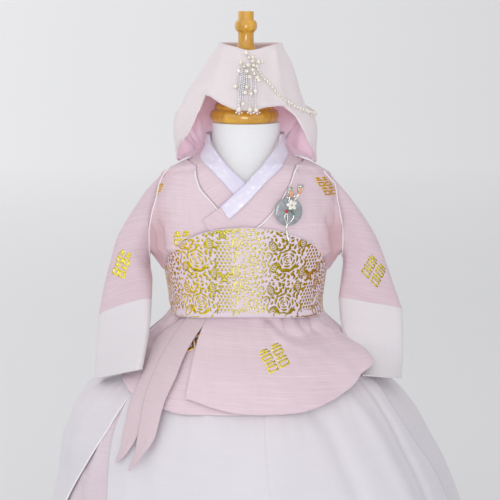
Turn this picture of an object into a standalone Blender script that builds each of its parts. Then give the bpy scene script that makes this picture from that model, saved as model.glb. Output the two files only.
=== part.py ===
"""A child's hanbok on a dress form: court jacket (dangui), wrapped skirt (chima), wide belt, cap, ties and brooch.

Lengths are in millimetres until a point is placed, which turns it into metres. +Z is up, the front faces -Y,
and the origin is the middle of the underside of the stand's base. A turn is the angle round the figure in
degrees: 0 at the middle of the front, 90 at the side on +X, -90 at the side on -X and 180 at the back.
"""

import math

import bmesh
import bpy
from mathutils import Vector

MM = 0.001
CLOTH = 1.2  # one layer of the jacket
THIN_CLOTH = 0.9  # ties and the white collar strips
BELT_CLOTH = 1.6
SHEER_CLOTH = 1.0  # the skirt
HOOD_CLOTH = 1.2
SEAM = 0.3  # what touching pieces keep between them

FORM_TOP = 627.5
FORM_FLOOR = 326.0
BASE_RADIUS = 130.0
BASE_HEIGHT = 14.0
POLE_RADIUS = 12.0

HEM_HEIGHT = 15.0  # of the skirt, above the floor
SKIRT_TOP = 431.0
WAISTBAND_TOP = 450.0
JACKET_WAIST = 386.0  # where the jacket starts to flare
FLUTES = 9
FLUTE_DEPTH = 4.0

for old in list(bpy.data.objects):
    bpy.data.objects.remove(old, do_unlink=True)

# The outline that the clothes are cut for, at each height.
# height, half width, depth in front, depth behind, middle
FIGURE = (
    (618, 43.5, 42.5, 44.5, -1),
    (606, 46, 45, 47, -1),
    (596, 49.5, 47.5, 50, -1),
    (588, 54, 50, 52.5, -1),
    (581, 61, 52.5, 55, -1),
    (574, 76, 54.5, 57, 0),
    (567, 90, 56, 58.5, 0),
    (560, 100, 57.5, 60, 0),
    (547, 109, 59.5, 62, 0),
    (514, 116.5, 62, 64, 0),
    (489, 119, 63, 64, 0),
    (472, 118.5, 63.5, 63.5, 0),
    (465, 115, 64, 63, 0),
    (457, 110, 64, 62.5, 0),
    (449, 104.5, 64, 62.3, 0),
    (441, 99.5, 64, 62, 0),
    (432, 95, 64, 62, 0),
    (418, 91.5, 64.5, 62, 0),
    (398, 90, 65, 62, 0),
    (386, 94.5, 70, 67, 0),
    (363, 118, 98, 93, 0),
    (332, 152, 137, 129, 0),
    (300, 189, 164, 156, 0),
    (267, 214, 182, 175, 1),
    (238, 228, 193, 187, 3),
    (197, 245, 204, 201, 8),
    (150, 260, 214, 214, 12),
    (80, 283, 227, 231, 15),
    (15, 300, 237, 242, 17),
)

# The same outline where the belt holds it in.
WAIST = (
    (510, 106, 62.5, 64, 0),
    (489, 104.5, 63, 64, 0),
    (472, 102, 63.5, 63.5, 0),
    (457, 98.5, 64, 62.5, 0),
    (436, 94, 64, 62, 0),
    (398, 89.5, 65, 62, 0),
    (JACKET_WAIST, 91, 70, 67, 0),
)

# The dress form, from its underside up.
# height, half width, depth in front, depth behind
FORM = (
    (FORM_FLOOR, 62, 42, 42),
    (333, 76, 52, 52),
    (350, 83, 57, 57),
    (400, 80, 56, 54),
    (440, 83, 55, 53),
    (490, 90, 55, 56),
    (525, 91, 54, 56),
    (545, 86, 51, 54),
    (560, 74, 48, 51),
    (572, 58, 45.5, 48),
    (583, 47.5, 43.5, 45),
    (600, 42.5, 41.5, 42.5),
    (FORM_TOP, 41.5, 41, 41.5),
)

# How far the skirt's three layers hang inside the figure's outline.
# height, pink underskirt, back wrap, front panel
SKIRT_LAYERS = (
    (SKIRT_TOP, 6.4, 4.3, 2.2),
    (398, 6.4, 4.3, 2.2),
    (363, 7.4, 4.8, 2.0),
    (300, 9.4, 4.4, 1.0),
    (HEM_HEIGHT, 14.0, 5.5, 0.0),
)

# The collar band on +X, which laps over: its inner and outer edge from the back of the neck to its square end.
# inner turn, inner height, outer turn, outer height
COLLAR_OVER = (
    (179.3, 611, 179.3, 580),
    (150, 611, 150, 580),
    (120, 611, 120, 580),
    (90, 611, 90, 579),
    (72, 611, 72, 577.3),
    (60, 606.3, 60, 576),
    (45, 597.5, 52, 575.2),
    (33, 589.9, 43, 571.5),
    (20.6, 581, 35.1, 565.6),
    (7.4, 568.8, 26.1, 548.2),
    (0.6, 556.6, 17.8, 526.1),
    (-9.2, 538.4, 6.6, 502.6),
    (-14.6, 527.6, -2.7, 489.6),
    (-24.9, 511.6, -16, 476),
)

# The collar band on -X, which ends under the other one.
COLLAR_UNDER = (
    (-179.3, 611, -179.3, 580),
    (-150, 611, -150, 580),
    (-120, 611, -120, 580),
    (-90, 611, -90, 579),
    (-72, 611, -72, 577.6),
    (-62, 605, -64, 577),
    (-47.3, 596, -49.3, 574),
    (-35.3, 588.8, -40.3, 567.4),
    (-24.1, 581.4, -34.2, 558.2),
    (-8.7, 567.7, -28.7, 546.1),
    (-0.2, 555.3, -22.7, 535.4),
    (6.1, 542.3, -17, 523.8),
    (11.9, 530.1, -11.7, 509.6),
    (17, 519, -5, 494),
)

# The white strip on each band, the same way.
STRIP_OVER = (
    (179.3, 612, 179.3, 598),
    (150, 612, 150, 598),
    (120, 612, 120, 598.5),
    (90, 612, 92, 599),
    (65.2, 611.7, 71.3, 600.4),
    (53.9, 602.2, 67.3, 590.3),
    (36, 592.7, 56.5, 585),
    (26.4, 586.1, 36.7, 577.5),
    (20.6, 581.4, 24.3, 569.6),
    (7.4, 569.1, 13.6, 557.8),
    (0.6, 556.8, 7.1, 545.5),
    (-9.2, 538.6, -2.8, 524.3),
    (-14.6, 527.8, -9.3, 511.9),
)
STRIP_UNDER = (
    (-179.3, 612, -179.3, 598),
    (-150, 612, -150, 598),
    (-120, 612, -120, 598.5),
    (-90, 612, -92, 599),
    (-67.8, 611.5, -71.9, 600.4),
    (-57.4, 602.8, -68.3, 587.2),
    (-47.3, 596.7, -57.6, 582.9),
    (-35.3, 589.5, -42.6, 577.8),
    (-24.1, 582, -29.2, 571.2),
    (-8.7, 568.2, -16.3, 558),
    (-0.2, 555.8, -7.8, 541.9),
    (6.1, 542.8, -1.7, 528.1),
    (9.6, 535.5, 1.8, 520.8),
)

# The shares of a strip's width at which its columns lie.
COLLAR_SHARES = (0, 0.2, 0.4, 0.7, 1)
STRIP_SHARES = (0, 0.5, 1)

# The edge of each front panel below its collar band.
# height, turn
FRONT_EDGE_OVER = ((466, -22), (450, -28), (430, -30), (400, -30), (JACKET_WAIST, -29.8))
FRONT_EDGE_UNDER = ((480, 5), (466, 12), (450, 14), (430, 14), (400, 14), (JACKET_WAIST, 14))

# Where the body meets the sleeve, or below the armpit the side seam.
# height, turn from the front
ARMHOLE = (
    (600, 89.8), (560, 89.8), (554, 82), (545.3, 77.5), (533, 75.5), (514, 75.5),
    (487, 78.5), (476, 82), (466, 86.5), (458, 89.8), (300, 89.8),
)

# The jacket's lower edge, which rises to a point at each vent.
# turn, height
HEM_OVER = (
    (-22.3, 308.1), (-12, 301), (-3.3, 295.4), (6.2, 293.6), (16.2, 294.1),
    (31.3, 303.4), (43.1, 315.5), (54.5, 328.8), (64.2, 337), (68, 342),
)
HEM_UNDER = (
    (-76, 333), (-62.2, 320), (-49.6, 307.7), (-38, 299), (-29.5, 294.6), (-22.8, 291.1),
    (-13.3, 292), (0, 293), (14, 294),
)
HEM_BACK = (
    (99, 338), (112, 325), (128, 310), (150, 297), (180, 292),
    (210, 297), (232, 310), (248, 325), (261, 338),
)

# Each sleeve from shoulder to wrist: its outer fold, its inner fold and half its thickness. Left and right are the
# wearer's, and the left sleeve is the one on +X. The distances across are from the middle of the body.
# outer x, outer y, outer height, inner x, inner y, inner height, half depth
SLEEVE_LEFT = (
    (108.6, 0, 562.5, 126, 0, 463, 19),
    (126, 0, 534, 124, -1, 458, 19),
    (144, -2, 510, 123, -3, 451, 18),
    (162, -4, 480, 121.5, -5, 441, 16.5),
    (175.5, -6, 445, 120, -7, 430, 15),
    (185, -8, 417, 118.5, -9, 419, 13),
    (193.5, -10, 394, 117, -11, 408, 11),
)
CUFF_LEFT = (
    (193.8, -10, 393.2, 117, -11, 407.2, 11),
    (195, -12, 370, 119.5, -12, 377, 9.5),
    (195, -16, 350, 126, -22, 358, 8),
    (194, -22, 334, 137, -44, 341, 7),
    (191, -34, 309, 146, -82, 322, 6.5),
)
SLEEVE_RIGHT = (
    (108.6, 0, 562.5, 126, 0, 463, 19),
    (121, 0, 542, 124.5, -2, 458, 19),
    (143, -2, 508.5, 123, -8, 451, 18),
    (158, -6, 482, 121, -15, 442, 16.5),
    (165.5, -10, 456, 118.5, -24, 432, 15),
    (174.5, -16, 421, 118, -34, 421, 13),
    (181, -22, 387, 118, -44, 411, 11.5),
)
CUFF_RIGHT = (
    (181.2, -22.2, 386.2, 118, -44.3, 410.2, 11.5),
    (183.5, -28, 350, 119, -62, 386, 10),
    (184, -36, 330, 123, -80, 364, 8.5),
    (184, -44, 310, 131, -104, 334, 7),
)

# The belt's edges round one half, and how far it lies outside the figure's outline.
# turn, top height, bottom height
BELT_EDGES = (
    (0, 503, 393.5), (15, 500.5, 393), (28, 494.5, 391.5), (42, 483, 390), (55, 469, 389), (66, 455.5, 388.5),
    (73, 449, 389), (80, 446, 389), (90, 442.5, 389), (100, 443, 389), (180, 447, 389),
)
BELT_CORNER = 12.0  # how far its lower corner on -X is rounded

# Each tie is a row of heights with its two edges, down to its point.
# height, turn of one edge, turn of the other
TIE_LONG = (
    (394, -48, -38), (384, -53, -40), (363, -60, -42), (338, -51.5, -39.5), (309, -45.5, -37),
    (290.4, -43.4, -36.2), (274.5, -41.8, -35.5), (260.9, -41.3, -35.9), (249.9, -41, -37.2),
    (238.2, -41.5, -39.2), (231.2, -41.9, -41.3),
)
TIE_SHORT = (
    (394, -46, -28.5), (384, -46, -29), (357, -45, -31), (330, -42, -30), (309, -39, -29.5),
    (295.4, -37.1, -29.2), (277.6, -35.5, -28.8), (267.8, -35.2, -28.8), (257, -34.9, -29.7),
    (245.2, -34.7, -31.8), (236.1, -35.3, -33.4), (225.6, -36.2, -35.7),
)

# The edges of the skirt's front panel, which leave a slit on -X and lie on the back wrap on +X.
# height, turn on -X, turn on +X
FRONT_PANEL = (
    (SKIRT_TOP, -46, 84), (363, -48.5, 80), (316, -49, 66), (282, -48, 62), (245, -46.8, 64),
    (215, -45.5, 67), (166, -43.5, 69), (HEM_HEIGHT, -40, 72),
)
# The turn at which the back wrap starts on +X, and where it ends past -X.
BACK_PANEL = (
    (SKIRT_TOP, 60, 309), (363, 52, 310), (316, 46, 310.4), (268.8, 44, 308.5), (240, 45, 304.5),
    (215, 46, 300.5), (171.4, 48, 292.5), (HEM_HEIGHT, 50, 276),
)

# The cap: a cone that widens to the shoulders, its lower edge cut high over the brow.
# height, half width, depth in front, depth behind, middle
CAP = (
    (724, 38, 32, 33, 5.5),
    (700, 51, 42, 45, 3.5),
    (680, 61, 49, 55, 1),
    (660, 70.5, 56, 63, -3),
    (645, 77, 60, 68, -3.5),
    (635, 85, 61, 71, -2),
    (615, 88.5, 61, 74, -1),
    (590, 86.5, 59, 76, 0),
    (574, 86, 57, 77, 1),
)
# turn, height of the lower edge
CAP_EDGE = (
    (-180, 583), (-150, 582), (-120, 579), (-100, 576.5), (-88, 580.5), (-80, 590.6), (-70, 599.6),
    (-60.4, 605.9), (-51.7, 614.5), (-45.5, 629), (-42.8, 645), (-42, 661), (-34, 656), (-20, 648),
    (-6, 643.5), (8, 644), (22, 648), (36, 649), (41.5, 648.5), (45.6, 642.8), (51.8, 624.2), (60.9, 605.2),
    (72.7, 593.1), (82, 585), (90, 576.5), (98, 575.5), (120, 579), (150, 582), (180, 583),
)
CAP_TOP = 722.0
# turn to either side, how far the rim dips
RIM_DIP = ((0, 8.2), (8, 7.6), (30, 4.0), (55, 1.4), (80, 0.0), (150, 0.6), (180, 1.2))

# The pearl string's route over the cap: turn, height and how far it hangs off the cloth.
STRING_ROUTE = (
    (20, 681, 2.6), (27, 674, 2.6), (35, 664, 2.6), (44, 654.5, 3.4), (53, 647, 4.5), (62, 641.5, 5),
    (71, 638, 4), (80, 636.5, 2.8), (92, 637, 2.6), (106, 640, 3.4), (120, 646, 4.0), (132, 654, 3.6),
)
STRING_RADIUS = 1.5


def named_material(name, colour, roughness, metallic=0.0):
    material = bpy.data.materials.new(name)
    material.use_nodes = True
    shader = material.node_tree.nodes["Principled BSDF"]
    shader.inputs["Base Color"].default_value = (*colour, 1.0)
    shader.inputs["Roughness"].default_value = roughness
    shader.inputs["Metallic"].default_value = metallic
    return material


PINK = ((0.80, 0.62, 0.68), 0.62)
PALE_PINK = ((0.84, 0.76, 0.79), 0.6)
WHITE = ((0.86, 0.84, 0.86), 0.6)
LAVENDER_WHITE = ((0.82, 0.78, 0.86), 0.4)
SATIN_PINK = ((0.75, 0.45, 0.58), 0.35)
BELT_PINK = ((0.82, 0.70, 0.76), 0.5)
LINEN = ((0.82, 0.81, 0.80), 0.85)
WOOD = ((0.60, 0.34, 0.08), 0.25)
METAL = ((0.75, 0.74, 0.72), 0.35)
PEARL = ((0.88, 0.84, 0.74), 0.25)


def smooth(share):
    share = min(max(share, 0.0), 1.0)
    return share * share * (3 - 2 * share)


def slope(table, row, column):
    """The tangent at a row that keeps the curve through the table from overshooting."""
    if row in (0, len(table) - 1):
        return 0.0
    before = (table[row][column] - table[row - 1][column]) / (table[row][0] - table[row - 1][0])
    after = (table[row + 1][column] - table[row][column]) / (table[row + 1][0] - table[row][0])
    return 0.0 if before * after <= 0 else 2 * before * after / (before + after)


def eased(table, key):
    """The columns of a table at a key between its rows, on a smooth curve."""
    rising = table[0][0] < table[-1][0]
    row = 0
    while row < len(table) - 2 and (table[row + 1][0] < key if rising else table[row + 1][0] > key):
        row += 1
    start, end = table[row], table[row + 1]
    span = end[0] - start[0]
    share = min(max((key - start[0]) / span, 0.0), 1.0)
    rise = smooth(share)
    lead = share * (1 - share) ** 2 * span
    trail = -share * share * (1 - share) * span
    return [
        start[c] * (1 - rise) + end[c] * rise + slope(table, row, c) * lead + slope(table, row + 1, c) * trail
        for c in range(1, len(start))
    ]


def straight(table, key):
    """The columns of a table at a key between its rows, on straight lines."""
    rising = table[0][0] < table[-1][0]
    row = 0
    while row < len(table) - 2 and (table[row + 1][0] < key if rising else table[row + 1][0] > key):
        row += 1
    start, end = table[row], table[row + 1]
    share = min(max((key - start[0]) / (end[0] - start[0]), 0.0), 1.0)
    return [start[c] + (end[c] - start[c]) * share for c in range(1, len(start))]


def belt_edges(turn):
    """The belt's top and bottom. Its lower corner on -X is rounded."""
    top, bottom = eased(BELT_EDGES, abs(turn))
    return top, bottom + BELT_CORNER * smooth((-turn - 62) / 24) * smooth((turn + 150) / 40)


def radii(table, height, turn):
    """The half width, the depth on the turn's side, and the middle."""
    outline = eased(table, height)
    if table is FIGURE:
        top, _ = belt_edges((turn + 180) % 360 - 180)
        held = smooth((top + 3 - height) / 8) * smooth((height - JACKET_WAIST + 1) / 10)
        outline = [mixed(free, tight, held) for free, tight in zip(outline, eased(WAIST, height))]
    half_width, front, back, middle = outline
    return half_width, front if math.cos(math.radians(turn)) > 0 else back, middle


def steepness(table, height, turn):
    """How much further a layer must stand off sideways where the outline slopes."""
    sine, cosine = math.sin(math.radians(turn)), math.cos(math.radians(turn))
    reach = [math.hypot(w * sine, d * cosine) for w, d, _ in (radii(table, height + s, turn) for s in (2, -2))]
    return min(math.hypot(1, (reach[1] - reach[0]) / 4), 2.2)


def on_outline(table, turn, height, out=0.0):
    """A point on an outline, moved out by a distance, in metres."""
    half_width, depth, middle = radii(table, height, turn)
    out *= steepness(table, height, turn)
    angle = math.radians(turn)
    x = middle + (half_width + out) * math.sin(angle)
    y = -(depth + out) * math.cos(angle)
    return Vector((x, y, height)) * MM


def body(turn, height, out):
    return on_outline(FIGURE, turn, height, out)


def keep(name, bm, look):
    """Makes a mesh a node of its own, with a material of its own."""
    mesh = bpy.data.meshes.new(name)
    bm.to_mesh(mesh)
    bm.free()
    mesh.materials.append(named_material(name + "_finish", *look))
    mesh.shade_smooth()
    mesh.set_sharp_from_angle(angle=math.radians(40))
    node = bpy.data.objects.new(name, mesh)
    bpy.context.scene.collection.objects.link(node)
    return node


def cloth(name, look, columns, rows, place, wall, tube=False):
    """A wall of cloth. place() puts a corner of the grid from its share across and its row; the wall grows outwards."""
    bm = bmesh.new()
    bmesh.ops.create_grid(bm, x_segments=columns, y_segments=rows, size=0.5)
    for corner in bm.verts:
        corner.co = place(corner.co.x + 0.5, (corner.co.y + 0.5) * rows)
    if tube:
        bmesh.ops.remove_doubles(bm, verts=bm.verts, dist=0.01 * MM)
    node = keep(name, bm, look)
    thicken = node.modifiers.new("wall", "SOLIDIFY")
    thicken.thickness = wall * MM
    thicken.offset = 1.0
    return node


def mixed(start, end, share):
    return start + (end - start) * share


def loft(name, look, table, sides):
    """A solid through oval sections, closed flat at both ends."""
    bm = bmesh.new()
    rings = []
    for height, half_width, front, back in table:
        ring = bmesh.ops.create_circle(bm, segments=sides, radius=1.0)["verts"]
        for corner in ring:
            depth = front if corner.co.y < 0 else back
            corner.co = Vector((corner.co.x * half_width, corner.co.y * depth, height)) * MM
        rings.append(ring)
    for lower, upper in zip(rings, rings[1:]):
        edges = {edge for corner in (*lower, *upper) for edge in corner.link_edges}
        level = [e for e in edges if abs(e.verts[0].co.z - e.verts[1].co.z) < 0.01 * MM]
        bmesh.ops.bridge_loops(bm, edges=level)
    bmesh.ops.holes_fill(bm, edges=bm.edges, sides=0)
    bmesh.ops.recalc_face_normals(bm, faces=bm.faces)
    return keep(name, bm, look)


def turned(name, look, profile, sides, middle=(0.0, 0.0)):
    """A turned solid from its profile of radius and height, which starts and ends on the axis."""
    bm = bmesh.new()
    corners = [bm.verts.new(Vector((radius, 0, height)) * MM) for radius, height in profile]
    edges = [bm.edges.new(pair) for pair in zip(corners, corners[1:])]
    bmesh.ops.spin(
        bm, geom=corners + edges, cent=(0, 0, 0), axis=(0, 0, 1), angle=math.tau, steps=sides, use_merge=True
    )
    bmesh.ops.remove_doubles(bm, verts=bm.verts, dist=0.01 * MM)
    bmesh.ops.recalc_face_normals(bm, faces=bm.faces)
    bmesh.ops.translate(bm, verts=bm.verts, vec=Vector((*middle, 0)) * MM)
    return keep(name, bm, look)


def tube(name, look, points, radius, resolution=2):
    """A cord or a wire along a smooth route."""
    curve = bpy.data.curves.new(name, "CURVE")
    curve.dimensions = "3D"
    curve.bevel_depth = radius * MM
    curve.bevel_resolution = resolution
    curve.use_fill_caps = True
    curve.render_resolution_u = 0
    spline = curve.splines.new("POLY")
    spline.points.add(len(points) - 1)
    for point, place in zip(spline.points, points):
        point.co = (*place, 1.0)
    curve.materials.append(named_material(name + "_finish", *look))
    node = bpy.data.objects.new(name, curve)
    bpy.context.scene.collection.objects.link(node)
    return node


# Dress form and stand

loft("form_torso", LINEN, FORM, 32)

turned(
    "neck_cap",
    WOOD,
    ((0, FORM_TOP + SEAM), (41, FORM_TOP + SEAM), (42.5, 630), (42.5, 636), (41, 639), (37, 646), (30, 653),
     (21, 659), (13, 662), (0, 662.5)),
    32,
    (-2.3, 0),
)
turned(
    "neck_finial",
    WOOD,
    ((0, 662.8), (12, 662.8), (16, 668), (17.5, 684), (17, 702), (15, 713), (11, 719), (9.6, 726), (9.6, 735),
     (11.5, 737.5), (13.7, 741), (13.7, 747), (11.5, 750), (9.7, 751), (9.7, 760), (8.5, 761.5), (0, 761.5)),
    24,
)
turned(
    "stand_pole",
    METAL,
    ((0, BASE_HEIGHT + SEAM), (26, BASE_HEIGHT + SEAM), (26, 19), (POLE_RADIUS, 24), (POLE_RADIUS, 318),
     (24, 321), (24, FORM_FLOOR - SEAM), (0, FORM_FLOOR - SEAM)),
    24,
)
turned(
    "stand_base",
    WOOD,
    ((0, 0), (BASE_RADIUS - 2, 0), (BASE_RADIUS, 2), (BASE_RADIUS, 9), (BASE_RADIUS - 5, BASE_HEIGHT),
     (0, BASE_HEIGHT)),
    48,
)

# Skirt: an underskirt all round, a back wrap and a front panel, on one waistband


def flute(turn, height):
    """The soft waves of the skirt, which grow towards the hem."""
    depth = FLUTE_DEPTH * smooth((340 - height) / (340 - HEM_HEIGHT))
    return depth * math.cos(FLUTES * math.radians(turn))


def skirt_layer(layer, turn, height):
    inside = eased(SKIRT_LAYERS, height)[layer]
    return body(turn, height, flute(turn, height) - inside)


SKIRT_ROWS = (HEM_HEIGHT, 100, 180, 238, 282, 316, 340, 363, 386, 400, SKIRT_TOP)


def skirt_panel(name, look, layer, columns, sides, tube_form=False):
    """One layer of the skirt, between the turns that sides() gives at a height."""

    def place(across, row):
        height = SKIRT_ROWS[round(row)]
        start, end = sides(height)
        return skirt_layer(layer, mixed(start, end, across), height)

    return cloth(name, look, columns, len(SKIRT_ROWS) - 1, place, SHEER_CLOTH, tube_form)


cloth(
    "chima_waistband",
    WHITE,
    32,
    1,
    lambda across, row: body(360 * across, mixed(SKIRT_TOP + 1.3, WAISTBAND_TOP, row), -5.8),
    CLOTH,
    tube=True,
)
skirt_panel("chima_under", PINK, 0, 36, lambda height: (-180, 180), tube_form=True)
skirt_panel("chima_back", WHITE, 1, 24, lambda height: eased(BACK_PANEL, height))
skirt_panel("chima_front", WHITE, 2, 14, lambda height: eased(FRONT_PANEL, height))

# Jacket body

UNDER_OUT = 2.5  # from the figure to the panel beneath
LAP = 3.8  # more where one front crosses the other
VENT_LIFT = 16.0  # of the front corner that stands on the sleeve
HEM_ROWS = 3  # between the hem and the waist


def over_out(turn, height):
    """How far out the lapping front lies: it comes down to the other's level at the side, and lifts at its corner."""
    lap = LAP * (1 - smooth((turn - 25) / 30))
    lift = VENT_LIFT * smooth((turn - 30) / 35) * smooth((366 - height) / 34)
    return UNDER_OUT + lap + lift


def jacket_panel(name, levels, hem, side, columns, out):
    """A panel from its hem to its top. levels lists height, start turn and end turn from the waist up; side()
    gives the two turns on the hem and the waist, for a share of the height between them."""

    def place(across, row):
        row = round(row)
        if row < HEM_ROWS:
            share = row / HEM_ROWS
            start, end = side(share)
            turn = mixed(start, end, across)
            height = mixed(straight(hem, turn)[0], JACKET_WAIST, share)
        else:
            height, start, end = levels[row - HEM_ROWS]
            turn = mixed(start, end, across)
        return body(turn, height, out(turn, height))

    return cloth(name, PINK, columns, HEM_ROWS + len(levels) - 1, place, CLOTH)


def front_levels(collar, edge, sign):
    """The rows of a front panel: its free edge follows the collar band, then the edge given below it."""
    levels = [(height, turn, sign * straight(ARMHOLE, height)[0]) for height, turn in reversed(edge)]
    for _, _, turn, height in reversed(collar):
        if abs(turn) < 85:
            gap = 0.5 if height > 560 else 0.2
            levels.append((height - gap, turn + sign * 0.4, sign * straight(ARMHOLE, height)[0]))
    return levels


def over_sides(share):
    return mixed(-22.3, -29.8, share), mixed(68, 89, smooth(share))


def under_sides(share):
    return mixed(-76, -89, smooth(share)), 14


def back_sides(share):
    return mixed(99, 90.5, smooth(2 * share)), mixed(261, 269.5, smooth(2 * share))


jacket_panel(
    "dangui_front_left", front_levels(COLLAR_OVER, FRONT_EDGE_OVER, 1), HEM_OVER, over_sides, 12, over_out
)
jacket_panel(
    "dangui_front_right",
    [(h, end, start) for h, start, end in front_levels(COLLAR_UNDER, FRONT_EDGE_UNDER, -1)],
    HEM_UNDER,
    under_sides,
    10,
    lambda turn, height: UNDER_OUT,
)
BACK_HEIGHTS = (JACKET_WAIST, 400, 430, 450, 458, 466, 476, 487, 514, 533, 545.3, 554, 560, 567, 574, 578.3)
jacket_panel(
    "dangui_back",
    [(h, 180 - straight(ARMHOLE, h)[0], 180 + straight(ARMHOLE, h)[0]) for h in BACK_HEIGHTS],
    HEM_BACK,
    back_sides,
    14,
    lambda turn, height: UNDER_OUT,
)

# Collar bands, white strips and piping


def collar_strip(name, look, table, shares, out, wall):
    """A strip whose columns lie at these shares of the collar's width, 0 at its inner edge."""

    def place(across, row):
        inner_turn, inner_height, outer_turn, outer_height = table[round(row)]
        share = shares[round(across * (len(shares) - 1))]
        turn = mixed(inner_turn, outer_turn, share)
        return body(turn, mixed(inner_height, outer_height, share), out(turn))

    return cloth(name, look, len(shares) - 1, len(table) - 1, place, wall)


def over_collar_out(turn):
    return over_out(turn, 500)


def under_collar_out(turn):
    return UNDER_OUT


def raised(out, distance):
    return lambda turn: out(turn) + distance


STRIP_LIFT = CLOTH + 0.8
PIPING_RADIUS = 0.9

collar_strip("collar_over", PINK, COLLAR_OVER, COLLAR_SHARES, over_collar_out, CLOTH)
collar_strip("collar_under", PINK, list(reversed(COLLAR_UNDER)), COLLAR_SHARES, under_collar_out, CLOTH)
collar_strip(
    "dongjeong_over", LAVENDER_WHITE, STRIP_OVER, STRIP_SHARES,
    raised(over_collar_out, STRIP_LIFT), THIN_CLOTH,
)
collar_strip(
    "dongjeong_under", LAVENDER_WHITE, list(reversed(STRIP_UNDER)), STRIP_SHARES,
    raised(under_collar_out, STRIP_LIFT), THIN_CLOTH,
)


def piping(name, table, out):
    """The white cord in the seam between a collar band and its front panel."""
    lift = CLOTH + PIPING_RADIUS + 0.6
    points = [body(turn, height, out(turn) + lift) for _, _, turn, height in table]
    return tube(name, WHITE, points, PIPING_RADIUS)


piping("piping_over", COLLAR_OVER[4:12], over_collar_out)
piping("piping_under", COLLAR_UNDER[4:11], under_collar_out)

# Sleeves and cuffs


FOLD_REACH = 25.0  # how far across a tube reaches at least, for the way that its front faces


def sleeve(name, look, table, sign):
    """A flattened tube, open at both ends, from its outer and inner folds."""

    def place(across, row):
        outer_x, outer_y, outer_z, inner_x, inner_y, inner_z, half_depth = table[len(table) - 1 - round(row)]
        outer = Vector((outer_x, outer_y, outer_z))
        inner = Vector((inner_x, inner_y, inner_z))
        along = outer - inner
        face = Vector((-along.y, max(along.x, FOLD_REACH), 0)).normalized()
        angle = math.tau * across * sign
        point = (outer + inner) / 2 + along / 2 * math.sin(angle) - face * half_depth * math.cos(angle)
        return Vector((sign * point.x, point.y, point.z)) * MM

    return cloth(name, look, 14, len(table) - 1, place, CLOTH, tube=True)


sleeve("sleeve_left", PINK, SLEEVE_LEFT, 1)
sleeve("cuff_left", WHITE, CUFF_LEFT, 1)
sleeve("sleeve_right", PINK, SLEEVE_RIGHT, -1)
sleeve("cuff_right", WHITE, CUFF_RIGHT, -1)

# Belt and ties

BELT_OUT_FRONT = 9.6
BELT_OUT_SIDE = 5.4
BELT_FLARE = 2.6  # at its lower edge, over the ties
BELT_ROWS = (0, 0.24, 1)  # shares of its height


def belt_place(across, row):
    turn = 360 * across - 180
    top, bottom = belt_edges(turn)
    height = mixed(bottom, top, BELT_ROWS[round(row)])
    front = 1 - smooth((abs(turn) - 40) / 45)
    flare = BELT_FLARE * (1 - smooth((height - bottom) / 22)) * front
    return body(turn, height, mixed(BELT_OUT_SIDE, BELT_OUT_FRONT, front) + flare)


cloth("belt", BELT_PINK, 32, len(BELT_ROWS) - 1, belt_place, BELT_CLOTH, tube=True)


def tie(name, table, out):
    def place(across, row):
        height, start, end = table[len(table) - 1 - round(row)]
        return body(mixed(start, end, across), height, out)

    return cloth(name, PINK, 1, len(table) - 1, place, THIN_CLOTH)


tie("goreum_long", TIE_LONG, 7.0)
tie("goreum_short", TIE_SHORT, 9.4)

# Cap


def cap_place(out):
    def place(across, row):
        turn = CAP_TURNS[round(across * (len(CAP_TURNS) - 1))]
        bottom = straight(CAP_EDGE, turn)[0]
        top = CAP_TOP - eased(RIM_DIP, abs(turn))[0]
        return on_outline(CAP, turn, mixed(bottom, top, row / CAP_ROWS), out)

    return place


CAP_TURNS = [turn for turn, _ in CAP_EDGE]
CAP_ROWS = 5
LINING_GAP = 1.9
cloth("cap_shell", PALE_PINK, len(CAP_TURNS) - 1, CAP_ROWS, cap_place(0), HOOD_CLOTH, tube=True)
cloth("cap_lining", SATIN_PINK, len(CAP_TURNS) - 1, CAP_ROWS, cap_place(-LINING_GAP), HOOD_CLOTH, tube=True)

# The pearl tassel's reach: turn on -X, turn on +X, at each height, and its thickness.
TASSEL = ((712, -22, 12), (700, -18, 15), (686, -15, 14), (676, -16, 13), (660, -10, 12), (641, -9, 12))
TASSEL_THICK = 4.0
TASSEL_OUT = HOOD_CLOTH + 0.6


def tassel_place(across, row):
    height, start, end = TASSEL[len(TASSEL) - 1 - round(row)]
    return on_outline(CAP, mixed(start, end, across), height, TASSEL_OUT)


cloth("cap_tassel", PEARL, 3, len(TASSEL) - 1, tassel_place, TASSEL_THICK)


def cap_route(route, steps):
    """Points on a smooth curve over the cap."""
    rows = [(index, *row) for index, row in enumerate(route)]
    last = len(route) - 1
    points = []
    for step in range(steps + 1):
        turn, height, out = eased(rows, last * step / steps)
        points.append(on_outline(CAP, turn, height, out + HOOD_CLOTH))
    return points


tube("cap_string", PEARL, cap_route(STRING_ROUTE, 30), STRING_RADIUS)

# Brooch on the lapping front

BROOCH_TURN = 24.0
BROOCH_HEIGHT = 521.5
BROOCH_OUT = 11.2
BROOCH_RADIUS = 17.4
BROOCH_THICK = 2.2


def brooch_point(right, up, forward):
    """A point on the brooch, from its middle, with the disc's face as the plane."""
    middle = body(BROOCH_TURN, BROOCH_HEIGHT, BROOCH_OUT)
    across = (body(BROOCH_TURN + 8, BROOCH_HEIGHT, BROOCH_OUT) - body(BROOCH_TURN - 8, BROOCH_HEIGHT, BROOCH_OUT))
    across.normalize()
    face = across.cross(Vector((0, 0, 1))).normalized()
    return middle + (across * right + Vector((0, 0, 1)) * up + face * forward) * MM


def brooch_disc():
    bm = bmesh.new()
    bmesh.ops.create_cone(
        bm, cap_ends=True, segments=36, radius1=BROOCH_RADIUS - 0.6, radius2=BROOCH_RADIUS, depth=BROOCH_THICK
    )
    for corner in bm.verts:
        corner.co = brooch_point(corner.co.x, corner.co.y, corner.co.z)
    bmesh.ops.recalc_face_normals(bm, faces=bm.faces)
    return keep("brooch_disc", bm, ((0.55, 0.60, 0.64), 0.25))


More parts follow.
